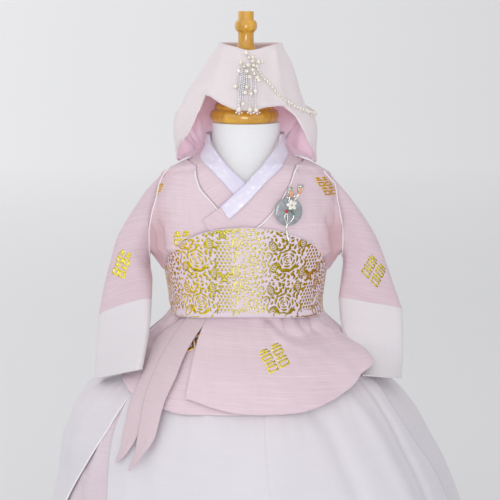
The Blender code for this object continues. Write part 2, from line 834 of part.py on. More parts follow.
def bead(name, look, right, up, forward, radius):
    bm = bmesh.new()
    bmesh.ops.create_icosphere(bm, subdivisions=2, radius=radius * MM)
    bmesh.ops.translate(bm, verts=bm.verts, vec=brooch_point(right, up, forward))
    return keep(name, bm, look)


brooch_disc()
BRANCH = (
    (-1.0, -36, 3.4), (-2.5, -28, 3.2), (-4.6, -20, 3.0), (-5.2, -13, 2.8), (-3.2, -6, 2.8), (-0.5, 0.5, 2.8),
    (2.2, 7, 2.8), (3.4, 14, 3.0), (3.0, 21, 3.2), (2.2, 26, 3.2),
)
tube("brooch_branch", METAL, [brooch_point(*place) for place in BRANCH], 0.8, 2)
bead("brooch_bud_1", ((0.85, 0.35, 0.22), 0.35), 1.8, 30.3, 3.2, 3.2)
bead("brooch_bud_2", ((0.85, 0.35, 0.22), 0.35), 12.5, 33, 3.2, 3.2)
bead("brooch_blossom", ((0.9, 0.86, 0.82), 0.3), 7.0, 11.5, 4.8, 3.4)
bead("brooch_red_bead", ((0.6, 0.06, 0.06), 0.25), -3.6, 1.2, 5.6, 1.9)
bead("brooch_green_bead", ((0.1, 0.4, 0.22), 0.25), 3.8, -3.2, 4.4, 1.9)
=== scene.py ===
"""A child's hanbok on its dress form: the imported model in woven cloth, gold foil, pearls and turned wood.

Tables are in millimetres and everything placed is in metres. +Z is up and the front faces -Y. A turn is
the angle round the figure in degrees: 0 at the middle of the front, 90 on +X, -90 on -X, 180 at the back.
"""

import math
import random

import bmesh
import bpy
import numpy as np
from mathutils import Matrix, Vector
from mathutils.bvhtree import BVHTree


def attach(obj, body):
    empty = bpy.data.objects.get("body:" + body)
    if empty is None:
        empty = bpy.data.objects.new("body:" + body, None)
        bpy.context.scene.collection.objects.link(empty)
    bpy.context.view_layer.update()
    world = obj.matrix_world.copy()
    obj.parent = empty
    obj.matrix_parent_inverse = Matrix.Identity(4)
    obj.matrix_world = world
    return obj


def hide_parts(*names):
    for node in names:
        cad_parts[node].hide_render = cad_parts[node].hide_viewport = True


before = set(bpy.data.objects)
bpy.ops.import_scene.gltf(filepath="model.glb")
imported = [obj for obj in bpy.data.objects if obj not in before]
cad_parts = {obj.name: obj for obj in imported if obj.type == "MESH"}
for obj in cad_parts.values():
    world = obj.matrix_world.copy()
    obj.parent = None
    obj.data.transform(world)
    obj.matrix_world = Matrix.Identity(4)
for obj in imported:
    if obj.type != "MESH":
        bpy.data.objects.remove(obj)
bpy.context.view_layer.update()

# Camera and studio
# A long lens a little above the belt looks slightly down on the figure. The floor is pale, with painted light
# in a wedge in front and a painted glow far off. A wide soft light stands low in front, with weak ones on
# both sides and above, in a pale room darker on the right.

CAMERA_TILT = math.radians(8)
CAMERA_REACH = 2.4
CAMERA_AIM = Vector((0.005, 0, 0.465))
CAMERA_LENS = 138.24  # mm, on a sensor 36 wide

camera_lens = bpy.data.cameras.new("camera")
camera_lens.sensor_width = 36
camera_lens.lens = CAMERA_LENS
camera_lens.clip_end = 200
camera = bpy.data.objects.new("camera", camera_lens)
camera.location = CAMERA_AIM + CAMERA_REACH * Vector((0, -math.cos(CAMERA_TILT), math.sin(CAMERA_TILT)))
camera.rotation_euler = (math.pi / 2 - CAMERA_TILT, 0, 0)
bpy.context.scene.collection.objects.link(camera)
bpy.context.scene.camera = camera
bpy.context.scene.view_settings.view_transform = "Standard"


def soft_light(name, place, size, power, colour):
    lamp = bpy.data.lights.new(name, "AREA")
    lamp.shape = "DISK"
    lamp.size = size
    lamp.energy = power
    lamp.color = colour
    light = bpy.data.objects.new(name, lamp)
    light.location = place
    light.rotation_euler = (CAMERA_AIM - Vector(place)).to_track_quat("-Z", "Y").to_euler()
    bpy.context.scene.collection.objects.link(light)


soft_light("key_light", (-1.3, -2.3, 1.8), 1.5, 3.5, (1.0, 0.99, 0.98))
soft_light("fill_light", (1.9, -2.0, 1.2), 1.6, 5, (0.97, 0.98, 1.0))
soft_light("front_light", (0.1, -3.2, 0.45), 1.2, 23, (1.0, 0.99, 0.97))
soft_light("top_light", (0.1, 0.5, 2.4), 1.2, 5, (1.0, 1.0, 1.0))


# How bright the room's walls are in front and behind, times how bright on the left and on the right
ROOM_FRONT, ROOM_BACK, ROOM_LIT, ROOM_SHADE = 0.90, 0.775, 1.15, 0.69


def light_room():
    """A pale room, brightest in front and on the left."""
    room = bpy.data.worlds.new("room")
    room.use_nodes = True
    nodes, links = room.node_tree.nodes, room.node_tree.links
    direction = nodes.new("ShaderNodeSeparateXYZ")
    links.new(nodes.new("ShaderNodeTexCoord").outputs["Generated"], direction.inputs[0])

    def wall(axis, start, end, value, reached):
        shade = nodes.new("ShaderNodeMapRange")
        shade.interpolation_type = "SMOOTHSTEP"
        for key, number in (("From Min", start), ("From Max", end), ("To Min", value), ("To Max", reached)):
            shade.inputs[key].default_value = number
        links.new(direction.outputs[axis], shade.inputs["Value"])
        return shade.outputs[0]

    level = nodes.new("ShaderNodeMath")
    level.operation = "MULTIPLY"
    links.new(wall("Y", -1.0, 0.3, ROOM_FRONT, ROOM_BACK), level.inputs[0])
    links.new(wall("X", -0.9, 0.95, ROOM_LIT, ROOM_SHADE), level.inputs[1])
    nodes["Background"].inputs["Color"].default_value = (0.985, 0.98, 0.995, 1)
    links.new(level.outputs[0], nodes["Background"].inputs["Strength"])
    bpy.context.scene.world = room


light_room()


class Tone:
    """A number or colour inside a finish. Sums on it add the finish's Math nodes."""

    def __init__(self, finish, socket):
        self.finish, self.socket = finish, socket

    def sum(self, operation, first, second):
        return self.finish.node("Math", {"operation": operation}, {0: first, 1: second})

    def __add__(self, other):
        return self.sum("ADD", self, other)

    def __radd__(self, other):
        return self.sum("ADD", other, self)

    def __sub__(self, other):
        return self.sum("SUBTRACT", self, other)

    def __rsub__(self, other):
        return self.sum("SUBTRACT", other, self)

    def __mul__(self, other):
        return self.sum("MULTIPLY", self, other)

    def __rmul__(self, other):
        return self.sum("MULTIPLY", other, self)

    def __pow__(self, other):
        return self.sum("POWER", self, other)


class Finish:
    """A material in the making, on one shader. Its sockets that stay the same all over are given by name."""

    def __init__(self, name, **fixed):
        self.material = bpy.data.materials.new(name)
        self.material.use_nodes = True
        self.nodes = self.material.node_tree.nodes
        self.links = self.material.node_tree.links
        self.shader = self.nodes["Principled BSDF"]
        self.fill(self.shader, {key.replace("_", " "): value for key, value in fixed.items()})

    def fill(self, node, sockets):
        for key, value in sockets.items():
            socket = node.inputs[key]
            if isinstance(value, Tone):
                self.links.new(value.socket, socket)
            elif socket.type == "RGBA":
                socket.default_value = (*value, 1)
            else:
                socket.default_value = value

    def node(self, kind, settings=None, sockets=None, output=0):
        """Adds any node. Its settings come first, among them a ramp's stops of place and colour."""
        node = self.nodes.new("ShaderNode" + kind)
        for key, value in (settings or {}).items():
            if key == "stops":
                stops = node.color_ramp.elements
                while len(stops) < len(value):
                    stops.new(1)
                for stop, (place, colour) in zip(stops, value):
                    stop.position = place
                    stop.color = (*colour, 1)
            else:
                setattr(node, key, value)
        self.fill(node, sockets or {})
        return Tone(self, node.outputs[output])

    def places(self, output="UV"):
        return self.node("TexCoord", output=output)

    def axis(self, places, number):
        """How far along one axis each place is."""
        return self.node("SeparateXYZ", None, {0: places}, number)

    def stretched(self, places, scale):
        return self.node("Mapping", None, {"Vector": places, "Scale": scale})

    def noise(self, places, scale, detail=2.0, rough=0.5):
        """Noise over places that are first stretched by a scale along each axis."""
        spots = self.stretched(places, scale)
        sockets = {"Vector": spots, "Scale": 1.0, "Detail": detail, "Roughness": rough}
        return self.node("TexNoise", None, sockets)

    def between(self, share, low, high):
        """A share brought from between two limits to between 0 and 1."""
        return self.node("MapRange", {"clamp": True}, {"Value": share, "From Min": low, "From Max": high})

    def blend(self, share, start, end):
        """A colour between two, which are plain colours or tones."""
        return self.node("Mix", {"data_type": "RGBA"}, {0: share, 6: start, 7: end}, 2)

    def relief(self, height, depth):
        """Raises the surface by a height from 0 to 1, times a depth in metres."""
        bumped = self.node("Bump", None, {"Strength": 1.0, "Distance": depth, "Height": height})
        self.fill(self.shader, {"Normal": bumped})

    def paint(self, **sockets):
        self.fill(self.shader, {key.replace("_", " "): value for key, value in sockets.items()})
        return self.material


# The floor's brightness is painted: a glow far off, and a bright wedge in front of the part
FLOOR_PAINTED_GLOW = 0.12  # far off, where the room's walls would bounce light on it
FLOOR_EYE = 3.0  # metres in front of the part, where the bright wedge of floor starts
FLOOR_RADIUS = 120


def stage_floor():
    bm = bmesh.new()
    bmesh.ops.create_circle(bm, cap_ends=True, segments=64, radius=FLOOR_RADIUS)
    mesh = bpy.data.meshes.new("studio_floor")
    bm.to_mesh(mesh)
    bm.free()
    plaster = Finish("floor_plaster", Roughness=0.75, Specular_IOR_Level=0.2, Emission_Strength=FLOOR_PAINTED_GLOW)
    spots = plaster.places("Object")
    cloud = plaster.noise(spots, (1.5, 1.5, 1.5), 3)
    aside = plaster.axis(spots, 0)
    away = plaster.axis(spots, 1) + FLOOR_EYE
    lean = plaster.node("Math", {"operation": "DIVIDE"}, {0: aside, 1: away})
    # Painted light: brighter in a wedge straight in front of the part and far off, darker to the sides nearby
    bright = 1 - plaster.between(lean, -0.16, 0.17)
    far = plaster.between(away, 3.0, 9.0)
    tone = plaster.blend(bright * (0.35 + 0.65 * far), (0.72, 0.725, 0.735), (0.97, 0.975, 0.99))
    painted_glow = plaster.blend(far, (0.0, 0.0, 0.0), (1.0, 1.0, 1.0))
    colour = plaster.blend(cloud * 0.2, tone, (0.86, 0.87, 0.89))
    mesh.materials.append(plaster.paint(Base_Color=colour, Emission_Color=painted_glow))
    floor = bpy.data.objects.new("studio_floor", mesh)
    bpy.context.scene.collection.objects.link(floor)


stage_floor()

# Dress form and stand
# A padded torso covered in white linen, under a turned and lacquered wooden neck cap with a finial. It stands
# on a steel pole in a round wooden foot. The covering is one tight skin, and the wood is turned on a lathe.

MM = 0.001

# height, half width, depth in front, depth behind
FORM = (
    (326, 62, 42, 42), (333, 76, 52, 52), (350, 83, 57, 57), (400, 80, 56, 54), (440, 83, 55, 53),
    (490, 90, 55, 56), (525, 91, 54, 56), (545, 86, 51, 54), (560, 74, 48, 51), (572, 58, 45.5, 48),
    (583, 47.5, 43.5, 45), (600, 42.5, 41.5, 42.5), (624.8, 42, 41.2, 41.5),
)


def smooth(share):
    share = np.clip(share, 0.0, 1.0)
    return share * share * (3 - 2 * share)


def eased(table, keys):
    """The columns of a table at keys between its rows, on a curve that never overshoots."""
    rows = np.array(sorted(table), float)
    keys = np.asarray(keys, float)
    steps = np.diff(rows[:, 0])
    rises = np.diff(rows[:, 1:], axis=0) / steps[:, None]
    slopes = np.zeros_like(rows[:, 1:])
    product = rises[:-1] * rises[1:]
    slopes[1:-1] = np.where(product > 0, 2 * product / np.where(product > 0, rises[:-1] + rises[1:], 1), 0)
    row = np.clip(np.searchsorted(rows[:, 0], keys) - 1, 0, len(rows) - 2)
    share = np.clip((keys - rows[row, 0]) / steps[row], 0, 1)[..., None]
    span = steps[row][..., None]
    rise = smooth(share)
    return (
        rows[row, 1:] * (1 - rise) + rows[row + 1, 1:] * rise
        + slopes[row] * share * (1 - share) ** 2 * span - slopes[row + 1] * share * share * (1 - share) * span
    )


def wear(name, bm, *finishes):
    """Makes a mesh a piece of the visual model, at the origin, with its finishes."""
    mesh = bpy.data.meshes.new(name)
    bm.to_mesh(mesh)
    bm.free()
    for finish in finishes:
        mesh.materials.append(finish)
    mesh.shade_smooth()
    piece = bpy.data.objects.new(name, mesh)
    bpy.context.scene.collection.objects.link(piece)
    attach(piece, "root")
    return piece


def fit(piece, node):
    """Hides the node that a piece stands in for."""
    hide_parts(node)


def skin(columns, rows, place, weld=False):
    """A grid of cloth. place() gives each corner's spot from its shares across and up, and its place on the
    bolt in metres where it knows it; otherwise the lengths along the cloth say so."""
    bm = bmesh.new()
    bmesh.ops.create_grid(bm, x_segments=columns, y_segments=rows, size=0.5)
    across = np.rint([(v.co.x + 0.5) * columns for v in bm.verts]).astype(int)
    up = np.rint([(v.co.y + 0.5) * rows for v in bm.verts]).astype(int)
    column, row = np.meshgrid(np.arange(columns + 1), np.arange(rows + 1))
    spots = place(column / columns, row / rows)
    if isinstance(spots, tuple):
        spots, bolt = spots
    else:
        widths = np.linalg.norm(np.diff(spots, axis=1), axis=2)
        width = np.concatenate([np.zeros((rows + 1, 1)), np.cumsum(widths, axis=1)], axis=1)
        lengths = np.linalg.norm(np.diff(spots, axis=0), axis=2)
        length = np.concatenate([np.zeros((1, columns + 1)), np.cumsum(lengths, axis=0)], axis=0)
        bolt = np.stack([width - width[:, columns // 2, None], length], -1)
    for vert, i, j in zip(bm.verts, across, up):
        vert.co = spots[j, i]
    uv = bm.loops.layers.uv.new("UVMap")
    bm.verts.index_update()
    for face in bm.faces:
        for loop in face.loops:
            index = loop.vert.index
            loop[uv].uv = bolt[up[index], across[index]]
    if weld:
        bmesh.ops.remove_doubles(bm, verts=bm.verts, dist=1e-5)
    return bm


def lacquered(name, grain_turn=0.0):
    """Golden lacquered wood, its grain along the lathe's axis and its lathe rings faint."""
    wood = Finish(name, Coat_Roughness=0.06, Coat_IOR=1.5)
    spots = wood.places("Object")
    turned_spots = wood.node("Mapping", None, {"Vector": spots, "Rotation": (0.0, grain_turn, 0.0)})
    grain = wood.noise(turned_spots, (55, 160, 9), 4, 0.62)
    fleck = wood.noise(turned_spots, (420, 420, 30), 2, 0.5)
    rings = wood.noise(spots, (2, 2, 700), 1)
    tone = wood.node(
        "ValToRGB",
        {"stops": ((0.30, (0.43, 0.190, 0.012)), (0.50, (0.65, 0.325, 0.020)), (0.72, (0.82, 0.465, 0.036)))},
        {"Fac": grain},
    )
    dark = wood.between(fleck, 0.62, 0.74) * 0.45
    wood.relief(rings, 0.00008)
    return wood.paint(
        Base_Color=wood.blend(dark, tone, (0.34, 0.145, 0.022)),
        Roughness=0.22 + 0.16 * grain,
        Coat_Weight=0.9,
    )


LATHE_EDGE = 38  # degrees between faces that meet in an edge


def turned(name, profile, middle, finish, sides):
    """A solid off the lathe, from its profile of radius and height, its axis a distance from the middle."""
    bm = bmesh.new()
    corners = [bm.verts.new(Vector((radius, 0, height)) * MM) for radius, height in profile]
    edges = [bm.edges.new(pair) for pair in zip(corners, corners[1:])]
    bmesh.ops.spin(
        bm, geom=corners + edges, cent=(0, 0, 0), axis=(0, 0, 1), angle=math.tau, steps=sides, use_merge=True
    )
    bmesh.ops.remove_doubles(bm, verts=bm.verts, dist=1e-5)
    bmesh.ops.recalc_face_normals(bm, faces=bm.faces)
    bmesh.ops.translate(bm, verts=bm.verts, vec=Vector((middle, 0, 0)) * MM)
    piece = wear(name, bm, finish)
    piece.data.set_sharp_from_angle(angle=math.radians(LATHE_EDGE))
    return piece


# Painted glow: the linen gives light of its own, which lightens it where it lies in shade
LINEN_GLOW = 0.17  # for the light scattered inside the padding


def linen_skin():
    """White linen in a plain weave, a little uneven, with a soft dusty nap and a painted glow."""
    linen = Finish(
        "white_linen", Roughness=0.86, Sheen_Weight=0.12, Sheen_Roughness=0.6,
        Emission_Color=(0.94, 0.95, 1.0), Emission_Strength=LINEN_GLOW,
    )
    bolt = linen.places()
    weft = linen.noise(bolt, (40, 900, 1))
    warp = linen.noise(bolt, (900, 40, 1))
    cloud = linen.noise(bolt, (14, 14, 1), 3)
    weave = weft * 0.5 + warp * 0.5
    linen.relief(weave, 0.00022)
    shade = linen.between(weave * 0.7 + cloud * 0.3, 0.3, 0.7)
    return linen.paint(Base_Color=linen.blend(shade, (0.64, 0.65, 0.66), (0.71, 0.72, 0.73)))


def torso_place(across, up):
    height = FORM[0][0] + (FORM[-1][0] - FORM[0][0]) * up
    half_width, front, back = np.moveaxis(eased(FORM, height), -1, 0)
    angle = math.tau * across
    depth = np.where(np.cos(angle) > 0, front, back)
    return np.stack([half_width * np.sin(angle), -depth * np.cos(angle), height], -1) * MM


torso_bm = skin(96, 70, torso_place, weld=True)
bmesh.ops.holes_fill(torso_bm, edges=torso_bm.edges, sides=0)
bmesh.ops.recalc_face_normals(torso_bm, faces=torso_bm.faces)
torso = wear("torso_linen", torso_bm, linen_skin())
torso.data.set_sharp_from_angle(angle=math.radians(40))
fit(torso, "form_torso")

# Profiles for the lathe: radius, height
NECK_CAP_PROFILE = (
    (0, 625), (37.5, 625), (39.6, 625.7), (41.2, 627), (42.4, 629.2), (42.9, 632), (42.8, 635), (42.1, 637.6),
    (40.8, 639.6), (39, 640.9), (37.4, 641.6), (36.9, 642.5), (37.2, 643.8), (37.1, 645.4), (36.3, 647),
    (34.8, 648.6), (32.8, 650.4), (30, 652.8), (26, 655.8), (21, 658.8), (17, 660.8), (13, 662), (0, 662.5),
)
FINIAL_PROFILE = (
    (0, 662.8), (12, 662.8), (14.2, 665), (16, 668), (17.1, 674), (17.5, 684), (17.5, 696), (17, 702),
    (16.2, 708), (15, 713), (13, 716.4), (11, 719), (10, 722), (9.6, 726), (9.6, 732), (9.9, 735),
    (10.4, 736), (11.5, 737), (12.8, 738.5), (13.6, 740.6), (13.9, 743.2), (13.7, 746), (13, 748.2),
    (11.8, 749.7), (10.6, 750.4), (9.9, 750.9), (9.7, 752), (9.7, 759.6), (9.4, 760.8), (8.5, 761.5),
    (0, 761.5),
)
flat_wood, tall_wood = lacquered("lacquered_wood_flat", math.pi / 2), lacquered("lacquered_wood_tall")
neck_cap = turned("neck_cap_turned", NECK_CAP_PROFILE, -2.3, flat_wood, 96)
fit(neck_cap, "neck_cap")
finial = turned("neck_finial_turned", FINIAL_PROFILE, 0, tall_wood, 72)
fit(finial, "neck_finial")


def brushed_steel():
    steel = Finish("brushed_steel", Metallic=1.0)
    brush = steel.noise(steel.places("Object"), (30, 30, 1800), 2)
    return steel.paint(
        Base_Color=steel.blend(brush, (0.52, 0.53, 0.54), (0.66, 0.67, 0.68)), Roughness=0.24 + 0.2 * brush
    )


def finish_node(node, material):
    """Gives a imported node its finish; its mesh stays as it is."""
    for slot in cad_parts[node].material_slots:
        slot.link = "OBJECT"
        slot.material = material


finish_node("stand_pole", brushed_steel())
finish_node("stand_base", lacquered("lacquered_wood_foot", math.pi / 2))

# Skirt
# A wrapped chima: a pink underskirt all round, then a white organza back wrap and a front panel, gathered on
# one cotton waistband. The organza's free edges are bound in white, and its pleats are pressed at the waist.

# The outline that the clothes are cut for: height, half width, depth in front, depth behind, middle
FIGURE = (
    (618, 43.5, 42.5, 44.5, -1), (606, 46, 45, 47, -1), (596, 49.5, 47.5, 50, -1), (588, 54, 50, 52.5, -1),
    (581, 61, 52.5, 55, -1), (574, 76, 54.5, 57, 0), (567, 90, 56, 58.5, 0), (560, 100, 57.5, 60, 0),
    (547, 109, 59.5, 62, 0), (514, 116.5, 62, 64, 0), (489, 119, 63, 64, 0), (472, 118.5, 63.5, 63.5, 0),
    (465, 115, 64, 63, 0), (457, 110, 64, 62.5, 0), (449, 104.5, 64, 62.3, 0), (441, 99.5, 64, 62, 0),
    (432, 95, 64, 62, 0), (418, 91.5, 64.5, 62, 0), (398, 90, 65, 62, 0), (386, 94.5, 70, 67, 0),
    (363, 118, 98, 93, 0), (332, 152, 137, 129, 0), (300, 189, 164, 156, 0), (267, 214, 182, 175, 1),
    (238, 228, 193, 187, 3), (197, 245, 204, 201, 8), (150, 260, 214, 214, 12), (80, 283, 227, 231, 15),
    (15, 300, 237, 242, 17),
)
# The same outline where the belt holds it in
WAIST = (
    (510, 106, 62.5, 64, 0), (489, 104.5, 63, 64, 0), (472, 102, 63.5, 63.5, 0), (457, 98.5, 64, 62.5, 0),
    (436, 94, 64, 62, 0), (398, 89.5, 65, 62, 0), (386, 91, 70, 67, 0),
)
# The belt's edges: turn, top height, bottom height
BELT_EDGES = (
    (0, 503, 393.5), (15, 500.5, 393), (28, 494.5, 391.5), (42, 483, 390), (55, 469, 389),
    (66, 455.5, 388.5), (73, 449, 389), (80, 446, 389), (90, 442.5, 389), (100, 443, 389), (180, 447, 389),
)
HEM_HEIGHT = 15
SKIRT_TOP = 431
SHEER_CLOTH = 1.0
BELT_CORNER = 12.0  # how far the belt's lower corner on the right side of the body is rounded up

# How far the layers hang inside the outline: height, underskirt, back wrap, front panel
SKIRT_LAYERS = (
    (SKIRT_TOP, 6.4, 4.3, 2.2), (398, 6.4, 4.3, 2.2), (363, 7.2, 4.8, 2.0), (300, 8.2, 4.4, 1.0),
    (HEM_HEIGHT, 10.5, 5.5, 0.0),
)
# height, turn of the panel's edge on -X, turn of its edge on +X
FRONT_PANEL = (
    (SKIRT_TOP, -46, 84), (363, -48.5, 80), (316, -49, 66), (282, -48, 62), (245, -46.8, 64),
    (215, -45.5, 67), (166, -43.5, 69), (HEM_HEIGHT, -40, 72),
)
# height, turn where the back wrap starts on +X, turn where it ends past the back
BACK_PANEL = (
    (SKIRT_TOP, 60, 309), (363, 52, 310), (316, 46, 310.4), (268.8, 44, 308.5), (240, 45, 304.5),
    (215, 46, 300.5), (171.4, 48, 292.5), (HEM_HEIGHT, 50, 276),
)


def belt_edges(turn):
    """The heights of the belt's top and bottom."""
    top, bottom = np.moveaxis(eased(BELT_EDGES, np.abs(turn)), -1, 0)
    return top, bottom + BELT_CORNER * smooth((-turn - 62) / 24) * smooth((turn + 150) / 40)


def radii(table, height, turn):
    """The half width, the depth on the turn's side, and the middle."""
    outline = eased(table, height)
    if table is FIGURE:
        top, _ = belt_edges((np.asarray(turn) + 180) % 360 - 180)
        held = (smooth((top + 3 - height) / 8) * smooth((height - WAIST[-1][0] + 1) / 10))[..., None]
        outline = outline * (1 - held) + eased(WAIST, height) * held
    half_width, front, back, middle = np.moveaxis(outline, -1, 0)
    return half_width, np.where(np.cos(np.radians(turn)) > 0, front, back), middle


def on_outline(table, turn, height, out=0.0):
    """Spots on an outline, moved out by a distance, and further out where the outline slopes."""
    turn, height, out = np.broadcast_arrays(np.asarray(turn, float), height, out)
    angle = np.radians(turn)
    reach = []
    for step in (2, -2):
        half_width, depth, _ = radii(table, height + step, turn)
        reach.append(np.hypot(half_width * np.sin(angle), depth * np.cos(angle)))
    out = out * np.minimum(np.hypot(1, (reach[1] - reach[0]) / 4), 2.2)
    half_width, depth, middle = radii(table, height, turn)
    x = middle + (half_width + out) * np.sin(angle)
    y = -(depth + out) * np.cos(angle)
    return np.stack([x, y, height], -1) * MM


def body(turn, height, out=0.0):
    return on_outline(FIGURE, turn, height, out)


BOLT_HEIGHTS = np.arange(HEM_HEIGHT, 619.0)
BOLT_GIRTH = eased(FIGURE, BOLT_HEIGHTS)[:, :3].sum(1) / 3.4
BOLT_LENGTHS = np.concatenate([[0], np.cumsum(np.hypot(1, np.diff(BOLT_GIRTH)))])


def bolt_place(turn, height, lean=0.0):
    """Where a spot of the body's cloth lay on the bolt: along the weft, and up the warp, in metres."""
    weft = np.radians(turn) * np.interp(height, BOLT_HEIGHTS, BOLT_GIRTH)
    warp = np.interp(height, BOLT_HEIGHTS, BOLT_LENGTHS)
    return np.stack([weft, warp + lean * weft], -1) * MM


def folds(table, turn, height, girth):
    """Soft ridges and troughs, each along a bent line.
    turn and height of its start, middle and end; half width; how far it stands out"""
    total = np.zeros(np.broadcast(turn, height).shape)
    x, z = np.broadcast_arrays(turn * girth * math.pi / 180, height)
    for t0, h0, t1, h1, t2, h2, half_width, lift in table:
        nearest = np.full(total.shape, 1e9)
        share = np.linspace(0, 1, 13)[:, None]
        line = (
            (1 - share) ** 2 * np.array([t0, h0])
            + 2 * share * (1 - share) * np.array([2 * t1 - (t0 + t2) / 2, 2 * h1 - (h0 + h2) / 2])
            + share ** 2 * np.array([t2, h2])
        )
        line[:, 0] *= girth * math.pi / 180
        for (x0, z0), (x1, z1) in zip(line, line[1:]):
            long = (x1 - x0) ** 2 + (z1 - z0) ** 2
            along = np.clip(((x - x0) * (x1 - x0) + (z - z0) * (z1 - z0)) / long, 0, 1)
            nearest = np.minimum(nearest, np.hypot(x - x0 - along * (x1 - x0), z - z0 - along * (z1 - z0)))
        total += lift * np.exp(-((nearest / half_width) ** 2))
    return total


def cloth(name, finishes, columns, rows, place, wall, node, slot, weld=False):
    """A shell of cloth that replaces its node, its wall growing outwards. The rim takes the last finish."""
    piece = wear(name, skin(columns, rows, place, weld), *finishes)
    wall_maker = piece.modifiers.new("wall", "SOLIDIFY")
    wall_maker.thickness = wall * MM
    wall_maker.offset = 1.0
    wall_maker.material_offset_rim = len(finishes) - 1
    fit(piece, node)
    return piece


FLUTES = 9
FLUTE_DEPTH = 4.0
SKIRT_GIRTH = 205.0

# Folds of the front panel: start turn and height, middle, end, half width, lift
FRONT_SKIRT_FOLDS = (
    (24, 292, 30, 230, 33, 40, 12, -4.0), (40, 305, 46, 240, 50, 30, 13, 4.4),
    (57, 318, 56, 262, 60, 60, 8, -3.2), (-14, 290, -17, 200, -16, 30, 16, 2.2),
    (-30, 296, -33, 210, -30, 40, 12, -2.4), (-3, 290, -4, 200, -2, 40, 12, -1.8),
)
# Folds of the back wrap
BACK_SKIRT_FOLDS = (
    (84, 330, 88, 220, 92, 30, 14, 3.0), (104, 335, 108, 200, 104, 30, 12, -2.6),
    (126, 330, 124, 180, 130, 30, 15, 2.8), (148, 325, 150, 210, 146, 40, 12, -2.8),
    (170, 335, 172, 190, 176, 30, 14, 2.6), (196, 328, 192, 200, 196, 40, 13, -2.6),
    (218, 330, 222, 190, 218, 30, 15, 3.0), (240, 325, 244, 210, 250, 40, 12, -2.4),
    (262, 335, 262, 200, 266, 30, 12, 2.6), (286, 330, 284, 250, 276, 60, 10, 2.0),
)
# Folds of the underskirt, where it shows
UNDERSKIRT_FOLDS = (
    (-50, 300, -54, 240, -60, 150, 3, 2.2), (-53, 300, -57, 240, -64, 150, 4, -1.6),
    (-50, 330, -54, 270, -60, 200, 16, 3.0),
)


def straight(table, keys):
    """The second column of a table at keys between its rows, on straight lines."""
    rows = sorted(table)
    return np.interp(keys, [row[0] for row in rows], [row[1] for row in rows])


def flute(turn, height):
    """The soft waves of the skirt, which grow towards the hem."""
    return FLUTE_DEPTH * smooth((340 - height) / (340 - HEM_HEIGHT)) * np.cos(FLUTES * np.radians(turn))


def gathers(turn, height, pleats):
    """The small pressed pleats under the waistband, which open out lower down."""
    swing = 0.8 * np.sin(np.radians(turn) * 7)
    return 0.9 * smooth((height - 230) / 120) * np.sin(np.radians(turn) * pleats + swing)


WRAP_PUFF = 7.5  # of the back wrap, beside its free edge
CENTRE_PLEAT = ((431, 8.5), (292, 6.3), (200, 4.7), (HEM_HEIGHT, 2.5))  # height, turn
PLEAT_LIFT = 2.6
PLEAT_RUN = 14  # degrees over which the pleat eases down again


def front_panel_folds(turn, height, across):
    past = turn - straight(CENTRE_PLEAT, height)
    pleat = PLEAT_LIFT * (smooth(past / 0.35) * (1 - smooth(past / PLEAT_RUN)))
    out = folds(FRONT_SKIRT_FOLDS, turn, height, SKIRT_GIRTH) * smooth((330 - height) / 60)
    out += pleat * smooth((330 - height) / 30)
    out += gathers(turn, height, 70) * smooth(across / 0.08) * (0.55 - 0.35 * smooth((turn - 20) / 20))
    return out


def back_wrap_folds(turn, height, across):
    free = smooth((turn - 74) / 10)
    puff = smooth((turn - 225) / 40) * smooth((height - 180) / 60) * smooth((335 - height) / 50)
    out = folds(BACK_SKIRT_FOLDS, turn, height, SKIRT_GIRTH) * smooth((345 - height) / 60) * free
    out += gathers(turn, height, 64) * free * 0.5
    out += WRAP_PUFF * puff * (1 - 0.85 * smooth((turn - 290) / 15))
    return out


def underskirt_folds(turn, height, across):
    return folds(UNDERSKIRT_FOLDS, turn, height, SKIRT_GIRTH)


def skirt_place(edges, layer, folded):
    """Where a layer of the skirt lies between its edges. folded() says how far its folds stand out."""

    def place(across, up):
        height = HEM_HEIGHT + (SKIRT_TOP - HEM_HEIGHT) * up
        start, end = np.moveaxis(eased(edges, height), -1, 0)
        turn = start + (end - start) * across
        inside = eased(SKIRT_LAYERS, height)[..., layer]
        out = flute(turn, height) - inside + folded(turn, height, across)
        return body(turn, height, out), bolt_place(turn, height)

    return place


def organza(name, pale, deep, rosy, slub_across=False):
    """Stiff sheer silk in a plain weave, with a cool thread one way. It is painted rosier from 220 mm up, as
    rosy shade near the jacket, and in rosy patches at random.
    """
    silk = Finish(name, Roughness=0.55, Sheen_Weight=0.25, Sheen_Roughness=0.35)
    bolt = silk.places()
    weft = silk.noise(bolt, (700, 14, 1) if slub_across else (26, 620, 1), 3, 0.6)
    warp = silk.noise(bolt, (11, 1300, 1) if slub_across else (1200, 9, 1), 2, 0.5)
    cloud = silk.noise(bolt, (7, 5, 1), 3, 0.55)
    moire = silk.noise(bolt, (16, 60, 1), 1, 0.4)
    thread = weft * 0.6 + warp * 0.4
    silk.relief(thread, 0.00012)
    shade = silk.between(thread * 0.55 + cloud * 0.3 + moire * 0.15, 0.36, 0.64)
    tone = silk.blend(shade, deep, pale)
    height = silk.axis(silk.places("Object"), 2)
    # Painted rosy shade near the jacket, rising from 220 to 310 mm, with rosy patches at random
    near = silk.between(height, 0.22, 0.31) * 0.45 + silk.between(cloud, 0.5, 0.75) * 0.35
    return silk.paint(Base_Color=silk.blend(near, tone, rosy))


